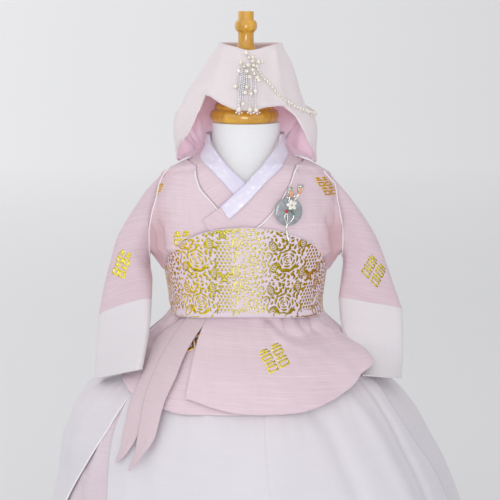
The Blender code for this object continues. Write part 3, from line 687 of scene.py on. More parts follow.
def slub_silk(name, pale, deep, rosy=None):
    """Silk woven with slubs: fine level threads, thicker ones here and there, and a soft lustre. Where a rosy
    colour is given, it is painted in as rosy shade under the arms and in a band along each armhole seam."""
    silk = Finish(name, Sheen_Weight=0.3, Sheen_Roughness=0.4, Specular_IOR_Level=0.4)
    bolt = silk.places()
    fine = silk.noise(bolt, (22, 760, 1), 3, 0.62)
    slub = silk.noise(bolt, (13, 380, 1), 2, 0.5)
    warp = silk.noise(bolt, (1300, 12, 1), 1, 0.5)
    cloud = silk.noise(bolt, (9, 12, 1), 3, 0.5)
    thick = silk.between(slub, 0.58, 0.74)
    thread = fine * 0.55 + warp * 0.2 + thick * 0.25
    silk.relief(thread, 0.00020)
    shade = silk.between(fine * 0.62 + warp * 0.13 + cloud * 0.25, 0.36, 0.64)
    tone = silk.blend(shade, deep, pale)
    lit = tuple(min(1.0, part * 1.12) for part in pale)
    tone = silk.blend(thick * 0.35, tone, lit)
    if rosy:
        # Painted shade: rosier under the arms and in a band beside each armhole seam, above 400 mm
        spot = silk.places("Object")
        aside = silk.node("Math", {"operation": "ABSOLUTE"}, {0: silk.axis(spot, 0)})
        height = silk.axis(spot, 2)
        armpit_painted_shade = silk.between(aside, 0.084, 0.106) * (1 - silk.between(height, 0.49, 0.545)) * 0.85
        seam = silk.between(aside + (height - 0.5) * 0.3, 0.103, 0.124) * 0.55
        near = armpit_painted_shade.sum("MAXIMUM", armpit_painted_shade, seam) * silk.between(height, 0.40, 0.44)
        tone = silk.blend(near, tone, rosy)
    return silk.paint(Base_Color=tone, Roughness=0.52 + 0.2 * (1 - fine))


def cord_run(name, spots, radius, finish):
    """A fine round cord through spots, closed at both ends."""
    curve = bpy.data.curves.new(name, "CURVE")
    curve.dimensions = "3D"
    curve.bevel_depth = radius * MM
    curve.bevel_resolution = 2
    curve.use_fill_caps = True
    spline = curve.splines.new("POLY")
    spline.points.add(len(spots) - 1)
    for point, spot in zip(spline.points, spots):
        point.co = (*spot, 1.0)
    curve.materials.append(finish)
    piece = bpy.data.objects.new(name, curve)
    bpy.context.scene.collection.objects.link(piece)
    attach(piece, "root")
    return piece


pink_underskirt = slub_silk("pink_underskirt_silk", (0.74, 0.645, 0.70), (0.66, 0.55, 0.61))
skirt_organza = organza("white_organza", (0.715, 0.695, 0.738), (0.665, 0.645, 0.692), (0.735, 0.66, 0.70))
bound_edge = slub_silk("white_bound_edge", (0.94, 0.925, 0.935), (0.90, 0.88, 0.895))
bound_organza = (skirt_organza, bound_edge)
all_round = ((SKIRT_TOP, -180, 180), (HEM_HEIGHT, -180, 180))
under_place = skirt_place(all_round, 0, underskirt_folds)
back_place = skirt_place(BACK_PANEL, 1, back_wrap_folds)
front_place = skirt_place(FRONT_PANEL, 2, front_panel_folds)

# name, finishes, columns and rows of the grid, place, node, slot, whether it closes in a ring, flat width
for name, finishes, columns, rows, place, node, slot, ring, wide in (
    ("chima_underskirt", (pink_underskirt,), 200, 70, under_place, "chima_under", "pink_cloth", True, 1.75),
    ("chima_back_wrap", bound_organza, 220, 75, back_place, "chima_back", "white_organza", False, 1.2),
    ("chima_front_panel", bound_organza, 300, 75, front_place, "chima_front", "white_organza", False, 0.6),
):
    layer = cloth(name, finishes, columns, rows, place, SHEER_CLOTH, node, slot, ring)

BINDING_TOP = 418
edge_shares = (np.linspace(HEM_HEIGHT + 1, BINDING_TOP, 140) - HEM_HEIGHT) / (SKIRT_TOP - HEM_HEIGHT)
for name, place, column, radius in (
    ("chima_back_binding", back_place, 1.0, 1.1),
    ("chima_front_binding", front_place, 0.0, 0.7),
    ("chima_side_binding", front_place, 1.0, 0.8),
):
    cord_run(name, place(np.full_like(edge_shares, column), edge_shares)[0], radius, bound_edge)

finish_node("chima_waistband", bound_edge)

# Jacket body
# A dangui of slub silk cut as a back and two fronts, the front on +X lapping over the other. Under the belt
# they flare into curved skirts that rise to a point at each side vent. Hems are turned and pressed.

CLOTH = 1.2
JACKET_WAIST = 386
UNDER_OUT = 2.5  # from the outline to the panel beneath
LAP = 3.8  # more where one front crosses the other
VENT_LIFT = 16.0  # of the front corner that stands on the sleeve
BODY_GIRTH = 112.0
HEM_SHARE = 0.34  # of a panel's rows that lie below the waist
TUCK = 5.0  # how far the cloth turns in at the armpit
TUCK_LINE = ((505, 55), (485, 54.5), (465, 59), (440, 62))  # height, turn
JACKET_RIPPLE = 0.35

# The collar bands from the back of the neck to the square end: inner turn and height, outer turn and height
COLLAR_OVER = (
    (179.3, 611, 179.3, 580), (150, 611, 150, 580), (120, 611, 120, 580), (90, 611, 90, 579),
    (72, 611, 72, 577.3), (60, 606.3, 60, 576), (45, 597.5, 52, 575.2), (33, 589.9, 43, 571.5),
    (20.6, 581, 35.1, 565.6), (7.4, 568.8, 26.1, 548.2), (0.6, 556.6, 17.8, 526.1),
    (-9.2, 538.4, 6.6, 502.3), (-14.6, 527.6, -2.7, 489.6), (-24.9, 511.6, -16, 476),
)
COLLAR_UNDER = (
    (-179.3, 611, -179.3, 580), (-150, 611, -150, 580), (-120, 611, -120, 580), (-90, 611, -90, 579),
    (-72, 611, -72, 577.6), (-62, 605, -64, 577), (-47.3, 596, -49.3, 574), (-35.3, 588.8, -40.3, 567.4),
    (-24.1, 581.4, -34.2, 558.2), (-8.7, 567.7, -28.7, 546.1), (-0.2, 555.3, -22.7, 535.4),
    (6.1, 542.3, -17, 523.8), (11.9, 530.1, -11.7, 509.6), (17, 519, -5, 494),
)
# The white strips on them, the same way
STRIP_OVER = (
    (179.3, 612, 179.3, 598), (150, 612, 150, 598), (120, 612, 120, 598.5), (90, 612, 92, 599),
    (65.2, 611.7, 71.3, 600.4), (53.9, 602.2, 67.3, 590.3), (36, 592.7, 56.5, 585),
    (26.4, 586.1, 36.7, 577.5), (20.6, 581.4, 24.3, 569.6), (7.4, 569.1, 13.6, 557.8),
    (0.6, 556.8, 7.1, 545.5), (-9.2, 538.6, -2.8, 524.3), (-14.6, 527.8, -9.3, 511.9),
)
STRIP_UNDER = (
    (-179.3, 612, -179.3, 598), (-150, 612, -150, 598), (-120, 612, -120, 598.5), (-90, 612, -92, 599),
    (-67.8, 611.5, -71.9, 600.4), (-57.4, 602.8, -68.3, 587.2), (-47.3, 596.7, -57.6, 582.9),
    (-35.3, 589.5, -42.6, 577.8), (-24.1, 582, -29.2, 571.2), (-8.7, 568.2, -16.3, 558),
    (-0.2, 555.8, -7.8, 541.9), (6.1, 542.8, -1.7, 528.1), (9.6, 535.5, 1.8, 520.8),
)
# Each front's free edge below its collar band: height, turn
FRONT_EDGE_OVER = ((466, -22), (450, -28), (430, -30), (400, -30), (JACKET_WAIST, -29.8))
FRONT_EDGE_UNDER = ((480, 5), (466, 12), (450, 14), (430, 14), (400, 14), (JACKET_WAIST, 14))
# Where the body meets the sleeve, or below the armpit the side seam: height, turn
ARMHOLE = (
    (600, 89.8), (560, 89.8), (554, 82), (545.3, 77.5), (533, 75.5), (514, 75.5), (487, 78.5), (476, 82),
    (466, 86.5), (458, 89.8), (300, 89.8),
)
# The lower edges, which rise to a point at each vent: turn, height
HEM_OVER = (
    (-22.3, 308.1), (-12, 301), (-3.3, 295.4), (6.2, 293.6), (16.2, 294.1), (31.3, 303.4), (43.1, 315.5),
    (54.5, 328.8), (64.2, 337), (68, 342),
)
HEM_UNDER = (
    (-76, 333), (-62.2, 320), (-49.6, 307.7), (-38, 299), (-29.5, 294.6), (-22.8, 291.1), (-13.3, 292),
    (0, 293), (14, 294),
)
HEM_BACK = (
    (99, 338), (112, 325), (128, 310), (150, 297), (180, 292), (210, 297), (232, 310), (248, 325),
    (261, 338),
)
BACK_HEIGHTS = (JACKET_WAIST, 400, 430, 450, 458, 466, 476, 487, 514, 533, 545.3, 554, 560, 567, 574, 580.2)

# Folds of the lapping front
OVER_FOLDS = (
    (16, 386, 32, 367, 52, 371, 7.5, -4.6), (16, 382, 34.5, 358.5, 66, 370, 4.5, 2.2),
    (8, 391, 16, 379, 24, 372, 7.0, 1.6), (27.8, 395, 27.5, 389, 26.5, 379, 3.4, -2.6),
    (35, 394, 34, 389, 33, 380, 5.5, 1.2), (41.5, 393, 41, 387, 40, 379, 4.5, -1.5),
    (47.5, 392, 47, 386, 46.5, 378, 5.5, 1.0), (53.5, 392, 53.5, 384, 53, 376, 4.5, -1.7),
    (59, 392, 60, 382, 63, 373, 6.0, 1.2), (50, 352, 54, 340, 52, 318, 9, -2.0),
    (62, 360, 68, 352, 72, 344, 6, 1.6), (70, 474, 64, 490, 57, 504, 6, -4.6),
    (78, 470, 72, 500, 70, 520, 6, 3.4), (60, 470, 56, 484, 50, 497, 7, 3.2),
    (82, 556, 60, 566, 44, 569, 4, -1.6), (84, 562, 62, 572, 48, 575, 3.5, 1.6),
    (64, 480, 66, 500, 70, 530, 5, -1.6),
)
# Folds of the front beneath
UNDER_FOLDS = (
    (-58, 390, -62, 370, -70, 350, 6, -3.0), (-48, 392, -52, 376, -58, 356, 7, 2.4),
    (-66, 388, -72, 372, -80, 356, 5, 2.2), (-58, 468, -59, 484, -63, 500, 5, -3.6),
    (-78, 470, -73, 500, -71, 520, 6, 3.2), (-66, 470, -66, 486, -69, 500, 5, 3.0),
    (-51, 466, -50, 480, -53, 498, 5, 2.8), (-82, 556, -60, 566, -44, 569, 4, -1.6),
    (-84, 562, -62, 572, -48, 575, 3.5, 1.6), (-40, 310, -44, 330, -46, 352, 8, -1.8),
)
# Folds of the back
BACK_FOLDS = (
    (112, 388, 116, 372, 122, 350, 6, -2.8), (104, 390, 106, 376, 110, 356, 7, 2.4),
    (132, 388, 134, 370, 140, 344, 7, 2.4), (150, 390, 152, 372, 150, 340, 6, -2.8),
    (168, 388, 172, 368, 170, 340, 7, 2.2), (188, 390, 186, 372, 190, 342, 6, -2.6),
    (206, 388, 208, 370, 204, 344, 7, 2.4), (226, 390, 224, 372, 218, 348, 6, -2.6),
    (242, 388, 238, 370, 234, 350, 7, 2.2), (254, 390, 252, 376, 248, 356, 6, -2.6),
    (104, 472, 112, 492, 122, 504, 7, -3.0), (256, 472, 248, 492, 238, 504, 7, -3.0),
    (100, 480, 104, 505, 106, 525, 6, 2.6), (260, 480, 256, 505, 254, 525, 6, 2.6),
    (160, 470, 180, 476, 204, 470, 6, 1.8), (130, 470, 180, 484, 230, 470, 5, -1.6),
    (140, 568, 180, 560, 220, 568, 5, 1.4),
)


def armpit_tuck(turn, height):
    """The cloth turns in sharply in front of each armpit."""
    past = np.abs(turn) - straight(TUCK_LINE, height)
    across = smooth((past + 2) / 5) * (1 - smooth((past - 14) / 12))
    return -TUCK * across * smooth((height - 440) / 15) * smooth((508 - height) / 25)


def over_out(turn, height):
    """How far out the lapping front lies: down to the other's level at the side, and up at its corner."""
    lap = LAP * (1 - smooth((turn - 25) / 30))
    lift = VENT_LIFT * smooth((turn - 30) / 35) * smooth((366 - height) / 34)
    return UNDER_OUT + lap + lift


def under_out(turn, height):
    return UNDER_OUT + 0 * turn


def through(table, share):
    """The columns of a table at a share of the way from its first row to its last."""
    return eased([(row, *line) for row, line in enumerate(table)], share * (len(table) - 1))


def jacket_place(levels, hem, side, out, table, lean):
    """Where a front or the back lies: from its hem to the waist, then up its levels of height and turns."""

    def place(across, up):
        above, start, end = np.moveaxis(through(levels, (up - HEM_SHARE) / (1 - HEM_SHARE)), -1, 0)
        share = np.clip(up / HEM_SHARE, 0, 1)
        low_start, low_end = side(share)
        low_turn = low_start + (low_end - low_start) * across
        edge = eased(hem, low_turn)[..., 0]
        low = up < HEM_SHARE
        turn = np.where(low, low_turn, start + (end - start) * across)
        height = np.where(low, edge + (JACKET_WAIST - edge) * share, above)
        crease = folds(table, turn, height, BODY_GIRTH) + armpit_tuck(turn, height)
        rim = np.minimum(smooth(across / 0.04) * smooth((1 - across) / 0.04) + smooth((400 - height) / 20), 1)
        ripple = JACKET_RIPPLE * np.sin(turn * 0.55 + height * 0.05) * np.sin(height * 0.11 + turn * 0.13)
        return body(turn, height, out(turn, height) + (crease + ripple) * rim), bolt_place(turn, height, lean)

    return place


BAND_DROP = 0.12  # from the collar band's outer edge down to the front's edge
BAND_STEP = 0.08  # and in degrees to the side
SHOULDER = (578.6, 89.6, 89.8)  # the top level of a front: height, turns where it starts and ends


def front_levels(collar, edge, sign):
    """The levels of a front: its free edge follows the one given, then the collar band to the shoulder."""
    levels = [(height, turn, sign * straight(ARMHOLE, height)) for height, turn in reversed(edge)]
    for _, _, turn, height in reversed(collar):
        if abs(turn) < 85:
            levels.append((height - BAND_DROP, turn + sign * BAND_STEP, sign * straight(ARMHOLE, height)))
    return [*levels, (SHOULDER[0], sign * SHOULDER[1], sign * SHOULDER[2])]


# The third colour is the painted rosy shade under the arms and beside the armholes
jacket_silk = slub_silk("pink_slub_silk", (0.775, 0.635, 0.690), (0.680, 0.530, 0.590), (0.60, 0.39, 0.42))
jacket_edge = slub_silk("pink_pressed_edge", (0.84, 0.72, 0.76), (0.76, 0.62, 0.67))
back_turns = straight(ARMHOLE, BACK_HEIGHTS)

# name, grid, levels, hem, side edges below the waist, distance out, folds, lean of warp, node, width, area
for name, grid, levels, hem, side, out, table, lean, node, wide, area in (
    (
        "dangui_front_lapping", (150, 180), front_levels(COLLAR_OVER, FRONT_EDGE_OVER, 1), HEM_OVER,
        lambda share: (-22.3 - 7.5 * share, 68 + 21 * smooth(2 * share)),
        over_out, OVER_FOLDS, 0.10, "dangui_front_left", 0.3, 0.06,
    ),
    (
        "dangui_front_beneath", (110, 180),
        [(height, end, start) for height, start, end in front_levels(COLLAR_UNDER, FRONT_EDGE_UNDER, -1)],
        HEM_UNDER, lambda share: (-76 - 13 * smooth(share), 14),
        under_out, UNDER_FOLDS, 0.0, "dangui_front_right", 0.3, 0.06,
    ),
    (
        "dangui_back_panel", (140, 140),
        [(height, 180 - turn, 180 + turn) for height, turn in zip(BACK_HEIGHTS, back_turns)],
        HEM_BACK, lambda share: (99 - 8.5 * smooth(2 * share), 261 + 8.5 * smooth(2 * share)),
        under_out, BACK_FOLDS, 0.0, "dangui_back", 0.4, 0.09,
    ),
):
    place = jacket_place(levels, hem, side, out, table, lean)
    panel = cloth(name, (jacket_silk, jacket_edge), *grid, place, CLOTH, node, "pink_cloth")

# Collar bands, white strips and piping
# Each band is a folded length of the jacket's silk sewn to its front, ending square. A stiff strip of white
# satin jacquard is tacked over its inner edge, and a fine white cord fills the seam at its outer edge.

THIN_CLOTH = 0.9
STRIP_LIFT = CLOTH + 0.5
PIPING_RADIUS = 1.0
COLLAR_LEVEL = 500  # the height whose lap the collar keeps all along


def band_place(table, out, lift=0.0):
    def place(across, up):
        inner_turn, inner_height, outer_turn, outer_height = np.moveaxis(through(table, up), -1, 0)
        turn = inner_turn + (outer_turn - inner_turn) * across
        height = inner_height + (outer_height - inner_height) * across
        return body(turn, height, out(turn, COLLAR_LEVEL) + lift)

    return place


def jacquard_satin(name):
    """White satin with a lilac cast, woven with a tone-on-tone pattern of small leaves."""
    satin = Finish(name, Sheen_Weight=0.2, Specular_IOR_Level=0.6)
    bolt = satin.places()

    def cells(feature, scale):
        sockets = {"Vector": satin.stretched(bolt, scale), "Scale": 1.0}
        return satin.node("TexVoronoi", {"feature": feature}, sockets)

    leaves = cells("F1", (190, 110, 1))
    curls = cells("DISTANCE_TO_EDGE", (170, 170, 1))
    float_thread = satin.noise(bolt, (1400, 60, 1), 1)
    cloud = satin.noise(bolt, (22, 14, 1), 2)
    figure = satin.between(leaves, 0.42, 0.36) * satin.between(curls, 0.05, 0.10)
    satin.relief(figure * 0.7 + float_thread * 0.3, 0.00010)
    tone = satin.blend(satin.between(cloud, 0.3, 0.7), (0.66, 0.61, 0.80), (0.82, 0.80, 0.90))
    colour = satin.blend(figure * 0.6, tone, (0.91, 0.90, 0.96))
    return satin.paint(Base_Color=colour, Roughness=0.42 - 0.18 * figure)


satin_strip = jacquard_satin("white_satin_jacquard")

for name, table, out, node, flat in (
    ("git_lapping", COLLAR_OVER, over_out, "collar_over", (0.036, 0.36)),
    ("git_beneath", COLLAR_UNDER[::-1], under_out, "collar_under", (0.034, 0.33)),
):
    band = cloth(name, (jacket_silk, jacket_edge), 14, 150, band_place(table, out), CLOTH, node, "pink_cloth")

for name, table, out, node in (
    ("dongjeong_lapping", STRIP_OVER, over_out, "dongjeong_over"),
    ("dongjeong_beneath", STRIP_UNDER[::-1], under_out, "dongjeong_under"),
):
    place = band_place(table, out, STRIP_LIFT)
    strip = cloth(name, (satin_strip,), 10, 150, place, THIN_CLOTH, node, "white_satin")

white_cord = slub_silk("white_piping_cord", (0.93, 0.90, 0.91), (0.88, 0.85, 0.86))
# name, band, distance out, first and last row of the band that it follows, node
for name, table, out, first, last, node in (
    ("piping_lapping", COLLAR_OVER, over_out, 6.2, 12.2, "piping_over"),
    ("piping_beneath", COLLAR_UNDER, under_out, 6.85, 12.4, "piping_under"),
):
    rows = [(row, *line[2:]) for row, line in enumerate(table)]
    turn, height = np.moveaxis(eased(rows, np.linspace(first, last, 90)), -1, 0)
    spots = body(turn, height, out(turn, COLLAR_LEVEL) + CLOTH + PIPING_RADIUS * 0.5)
    fit(cord_run(name, spots, PIPING_RADIUS, white_cord), node)

# Sleeves and cuffs
# Each sleeve is one width of slub silk folded over the arm and sewn into a flat tube, with a wide cuff of
# white organza seamed on at the wrist and turned up inside. A fine pale cord lies along the outer fold.

# Outer fold x, y and height, inner fold x, y and height, half depth. x counts away from the body's middle.
SLEEVE_LEFT = (
    (103, 0, 560, 120.5, 0, 460, 11), (126, 0, 534, 122.5, -1, 455, 16), (144, -2, 510, 122.5, -3, 449, 17),
    (162, -4, 480, 121.5, -5, 441, 16.5), (175.5, -6, 445, 120, -7, 430, 15),
    (185, -8, 417, 118.5, -9, 419, 13), (193.6, -10, 393, 117, -11, 407, 11.2),
)
CUFF_LEFT = (
    (193.8, -10, 393.2, 117, -11, 407.2, 11), (195, -12, 370, 119.5, -12, 377, 9.5),
    (195, -16, 350, 126, -22, 358, 8), (194, -22, 334, 137, -44, 341, 7),
    (191, -34, 309, 144, -82, 322, 6.5),
)
SLEEVE_RIGHT = (
    (103, 0, 560, 120.5, 0, 460, 11), (121, 0, 542, 122.5, -2, 455, 16),
    (143, -2, 508.5, 122.5, -8, 449, 17), (158, -6, 482, 121, -15, 442, 16.5),
    (165.5, -10, 456, 118.5, -24, 432, 15), (174.5, -16, 421, 118, -34, 421, 13),
    (181.1, -22, 386, 118, -44, 410, 11.7),
)
CUFF_RIGHT = (
    (181.2, -22.2, 386.2, 118, -44.3, 410.2, 11.5), (183.5, -28, 350, 119, -62, 386, 10),
    (184, -36, 330, 122, -80, 364, 8.5), (184, -44, 310, 127.5, -104, 334, 7),
)


FLATNESS = 0.6  # 1 for an oval tube, less for one pressed flat
FOLD_MIN = 25.0  # how far across a tube reaches at least, for the way that its front faces
SEAM_ARCH = {1: 2.5, -1: 4.5}  # of the cuff's seam, for the left and the right sleeve
FOLD_SHIFT = (0.9, 1.0)  # of the cord on a fold, inwards and to the front


def no_wave(angle, up):
    return 0 * angle


def tube_place(table, sign, wave, seam_up):
    """A flattened tube from its outer and inner folds. Its seam runs down a fold, and the cuff's seam, at one
    end, is cut in an arch."""

    def place(across, up):
        values = through(table[::-1], up)
        outer, inner, half_depth = values[..., :3], values[..., 3:6], values[..., 6]
        along = outer - inner
        face = np.stack([-along[..., 1], np.maximum(along[..., 0], FOLD_MIN), np.zeros_like(half_depth)], -1)
        face /= np.linalg.norm(face, axis=-1, keepdims=True)
        angle = (math.tau * across - math.pi / 2) * sign
        depth = half_depth * np.sign(np.cos(angle)) * np.abs(np.cos(angle)) ** FLATNESS + wave(angle, up)
        spots = (outer + inner) / 2 + along / 2 * np.sin(angle)[..., None] - face * depth[..., None]
        spots[..., 2] += SEAM_ARCH[sign] * np.abs(np.cos(angle)) * smooth(1 - np.abs(up - seam_up) / 0.3)
        return spots * np.array([sign, 1, 1]) * MM

    return place


def sleeve_wave(phase):
    """Soft diagonal drags from the armpit, on the front and back of the tube."""

    def wave(angle, up):
        side = np.sin(angle)
        drag = np.sin(up * 9.0 + side * 2.6 + phase) * 1.0 + np.sin(up * 5.0 - side * 3.4 + phase * 2) * 0.9
        return drag * np.abs(np.cos(angle)) * smooth(up / 0.1) * smooth((1 - up) / 0.12)

    return wave


def cuff_wave(phase):
    def wave(angle, up):
        drag = 0.6 * np.sin(np.sin(angle) * 3 + phase + up * 2)
        return drag * np.abs(np.cos(angle)) * smooth((1 - up) / 0.2)

    return wave


cuff_tones = (0.735, 0.715, 0.745), (0.665, 0.645, 0.675), (0.73, 0.68, 0.70)
cuff_organza = organza("white_cuff_organza", *cuff_tones, slub_across=True)
# The sleeve silk is a darker copy of the jacket's silk: painted shade
sleeve_silk_painted_shade = slub_silk("sleeve_slub_silk_painted_darker", (0.71, 0.575, 0.630), (0.62, 0.475, 0.535))
cuff_edge = slub_silk("white_cuff_edge", (0.86, 0.845, 0.85), (0.82, 0.80, 0.81))

fold_shares = np.linspace(0.01, 0.985, 60)

for side, sign, sleeve_table, cuff_table, phase in (
    ("left", 1, SLEEVE_LEFT, CUFF_LEFT, 0.4),
    ("right", -1, SLEEVE_RIGHT, CUFF_RIGHT, 2.1),
):
    name, place = f"sleeve_{side}", tube_place(sleeve_table, sign, sleeve_wave(phase), 0)
    sleeve = cloth(f"{name}_silk", (sleeve_silk_painted_shade,), 110, 95, place, CLOTH, name, "pink_cloth", True)
    for part, table, radius in (("sleeve", sleeve_table, 0.7), ("cuff", cuff_table, 0.95)):
        fold = tube_place(table, sign, no_wave, 0)(np.zeros_like(fold_shares), fold_shares)
        shift = np.array([sign * FOLD_SHIFT[0], FOLD_SHIFT[1], 0]) * MM
        cord_run(f"{part}_{side}_fold", fold - shift, radius, white_cord)
    name, place = f"cuff_{side}", tube_place(cuff_table, sign, cuff_wave(phase), 1)
    finishes = (cuff_organza, cuff_edge)
    cuff = cloth(f"{name}_organza", finishes, 110, 45, place, CLOTH, name, "white_organza", True)

# Belt
# A wide curved belt of lilac-pink silk, stiffened inside and hooked behind, its top cut up over the chest.
# Gold foil is pressed on it in a repeat of roses, seed heads, leaves and scrolls.

BELT_CLOTH = 1.6
BELT_OUT_FRONT = 9.6
BELT_OUT_SIDE = 5.0
BELT_FLARE = 2.6  # at its lower edge, over the ties
BELT_RIPPLE = 0.35  # at its sides and back


def belt_out(turn, height, bottom):
    front = 1 - smooth((np.abs(turn) - 40) / 45)
    flare = BELT_FLARE * (1 - smooth((height - bottom) / 22)) * front
    ripple = BELT_RIPPLE * np.sin(np.radians(turn) * 11 + height * 0.03) * smooth((np.abs(turn) - 20) / 40)
    return BELT_OUT_SIDE + (BELT_OUT_FRONT - BELT_OUT_SIDE) * front + flare + ripple


def belt_place(across, up):
    turn = 360 * across - 180
    top, bottom = belt_edges(turn)
    height = bottom + (top - bottom) * up
    return on_outline(WAIST, turn, height, belt_out(turn, height, bottom)), bolt_place(turn, height)


belt_silk = slub_silk("belt_lilac_silk", (0.78, 0.665, 0.745), (0.71, 0.59, 0.675))
belt = cloth("belt_silk", (belt_silk,), 220, 40, belt_place, BELT_CLOTH, "belt", "foiled_silk", True)


def gold_foil(name, painted_reflection_tones=((0, (0.98, 0.86, 0.08)),)):
    """Gold foil pressed into silk: metal, crinkled by the weave under it. Its colour is painted along X with
    the reflections it would show.
    """
    foil = Finish(name, Metallic=1.0)
    spots = foil.places("Object")
    crinkle = foil.noise(spots, (900, 900, 900), 2, 0.6)
    cloud = foil.noise(spots, (60, 60, 60), 2)
    foil.relief(crinkle, 0.00045)
    # The tone along X is painted reflection
    aside = foil.axis(spots, 0) + (cloud - 0.5) * 0.03
    tone = painted_reflection_tones[0][1]
    for (start, _), (end, colour) in zip(painted_reflection_tones, painted_reflection_tones[1:]):
        tone = foil.blend(foil.between(aside, start * MM, end * MM), tone, colour)
    colour = foil.blend(crinkle * 0.25, tone, (0.62, 0.30, 0.01))
    return foil.paint(Base_Color=colour, Roughness=0.22 + 0.16 * cloud)


# Where each tone of the belt's foil is met, from -X to +X: painted reflections, pale in the middle where the
# foil would mirror the bright front, yellow and amber to the left, dark olive and brown to the right
BELT_PAINTED_REFLECTIONS = (
    (-88, (0.66, 0.36, 0.02)), (-66, (0.86, 0.68, 0.03)), (-38, (0.62, 0.56, 0.03)),
    (-12, (0.96, 0.90, 0.28)), (14, (0.96, 0.90, 0.28)), (34, (0.42, 0.35, 0.01)), (62, (0.38, 0.28, 0.01)),
    (86, (0.50, 0.26, 0.01)),
)


def drop(x, y, lean, long, wide, steps=5):
    """A foil petal or seed: round at one end and pointed at the other."""
    outline = []
    for step in range(steps + 1):
        share = step / steps
        half = wide / 2 * math.sin(math.pi * share**0.72) if 0 < step < steps else 0
        outline.append((share * long, half))
    outline += [(along, -half) for along, half in reversed(outline[1:-1])]
    cosine, sine = math.cos(math.radians(lean)), math.sin(math.radians(lean))
    return [(x + a * cosine - b * sine, y + a * sine + b * cosine) for a, b in outline]


def arc(x, y, radius, start, end, wide, squash=1.0):
    """A foil stroke along an arc, thick in the middle and fine at its ends."""
    steps = max(4, int(abs(end - start) / 22))
    outer, inner = [], []
    for step in range(steps + 1):
        share = step / steps
        angle = math.radians(start + (end - start) * share)
        half = wide / 2 * (0.25 + 0.75 * math.sin(math.pi * share))
        outer.append((x + (radius + half) * math.cos(angle), y + (radius + half) * math.sin(angle) * squash))
        inner.append((x + (radius - half) * math.cos(angle), y + (radius - half) * math.sin(angle) * squash))
    return outer + inner[::-1]


def spot_at(x, y, lean, away):
    return x + away * math.cos(math.radians(lean)), y + away * math.sin(math.radians(lean))


def rose(x, y):
    """An open rose over a cup of leaves, with a tendril on each side."""
    shapes = [arc(x, y, 1.8, 20, 320, 1.8)]
    for ring, count, wide in ((4.6, 3, 2.1), (7.9, 5, 2.7), (11.6, 7, 2.9)):
        for petal in range(count):
            start = petal * 360 / count + ring * 21
            shapes.append(arc(x, y, ring, start, start + 290 / count, wide))
    shapes.append(arc(x, y + 1.0, 15.0, 200, 340, 3.6, 0.94))
    for lean in (40, 62, 84, 106, 128, 150):
        shapes.append(drop(*spot_at(x, y, lean, 14.2), lean + 12, 6.8, 3.3))
    for sign in (-1, 1):
        shapes.append(drop(x + sign * 5, y - 16.0, 90 - sign * 122, 8.5, 3.7))
        shapes.append(arc(x + sign * 18.5, y - 4, 4.4, 90 - sign * 170, 90 - sign * 10, 2.3))
        shapes.append(drop(x + sign * 1.5, y - 17.5, -90 + sign * 26, 7, 3.2))
        shapes.append(drop(x + sign * 12.5, y - 12.5, -90 + sign * 62, 6, 3.0))
    return shapes


def seed_head(x, y):
    """A tall head of seeds that hang in rows, over a fan of leaves."""
    shapes = []
    for row, count in enumerate((2, 3, 4, 5, 4, 5, 4, 5, 4)):
        for seed in range(count):
            side = (seed - (count - 1) / 2) * 4.3
            shapes.append(drop(x + side, y + 20 - row * 4.1, -90 + side * 1.6, 4.1, 3.3, 4))
    for lean in (-160, -132, -106, -74, -48, -20):
        shapes.append(drop(*spot_at(x, y - 17, lean, 3), lean, 9, 3.5))
    for lean in (30, 62, 90, 118, 150):
        shapes.append(drop(*spot_at(x, y + 20, lean, 3), lean, 6, 3.1))
    return shapes


def long_leaf(x, y, lean):
    """A leaf in outline with its veins."""
    shapes = []
    for sign in (-1, 1):
        aside = lean + sign * 90
        shapes.append(arc(*spot_at(x, y, lean - sign * 90, 6.6), 10.4, aside - 48, aside + 48, 2.3))
        for step in range(-2, 3):
            shapes.append(drop(*spot_at(x, y, lean, step * 2.7), lean + sign * 44, 3.0, 1.6, 3))
    return shapes


def open_flower(x, y):
    """A many-petalled flower in a ring of strokes, with a curling vine on each side."""
    shapes = [arc(x, y, 1.6, 0, 330, 1.8)]
    for petal in range(9):
        lean = petal * 40
        shapes.append(drop(*spot_at(x, y, lean, 3.4), lean, 5.6, 3.2))
        shapes.append(arc(x, y, 11.0, lean + 4, lean + 35, 2.5))
    for sign in (-1, 1):
        shapes.append(arc(x + sign * 16.5, y + 4, 4.6, 90 - sign * 160, 90 + sign * 70, 2.2))
        shapes.append(arc(x + sign * 16.5, y + 4, 1.4, 0, 300, 1.8))
    return shapes


REPEAT_WIDE = 106.0
REPEAT_TALL = 53.5
FILL_TRIALS = 9000
FILL_GAP = 0.9  # least distance from a filling leaf to any other shape
MOTIFS = ((rose, 0, 0), (seed_head, 32, 4), (open_flower, 66, 1), (rose, 66, 26.7), (open_flower, 0, 27.5))
LEAVES = ((20, -16, 80), (46, -13, 100), (90, -9, 60), (88, 17, 120), (47, 22, 70), (17, 20, 100))


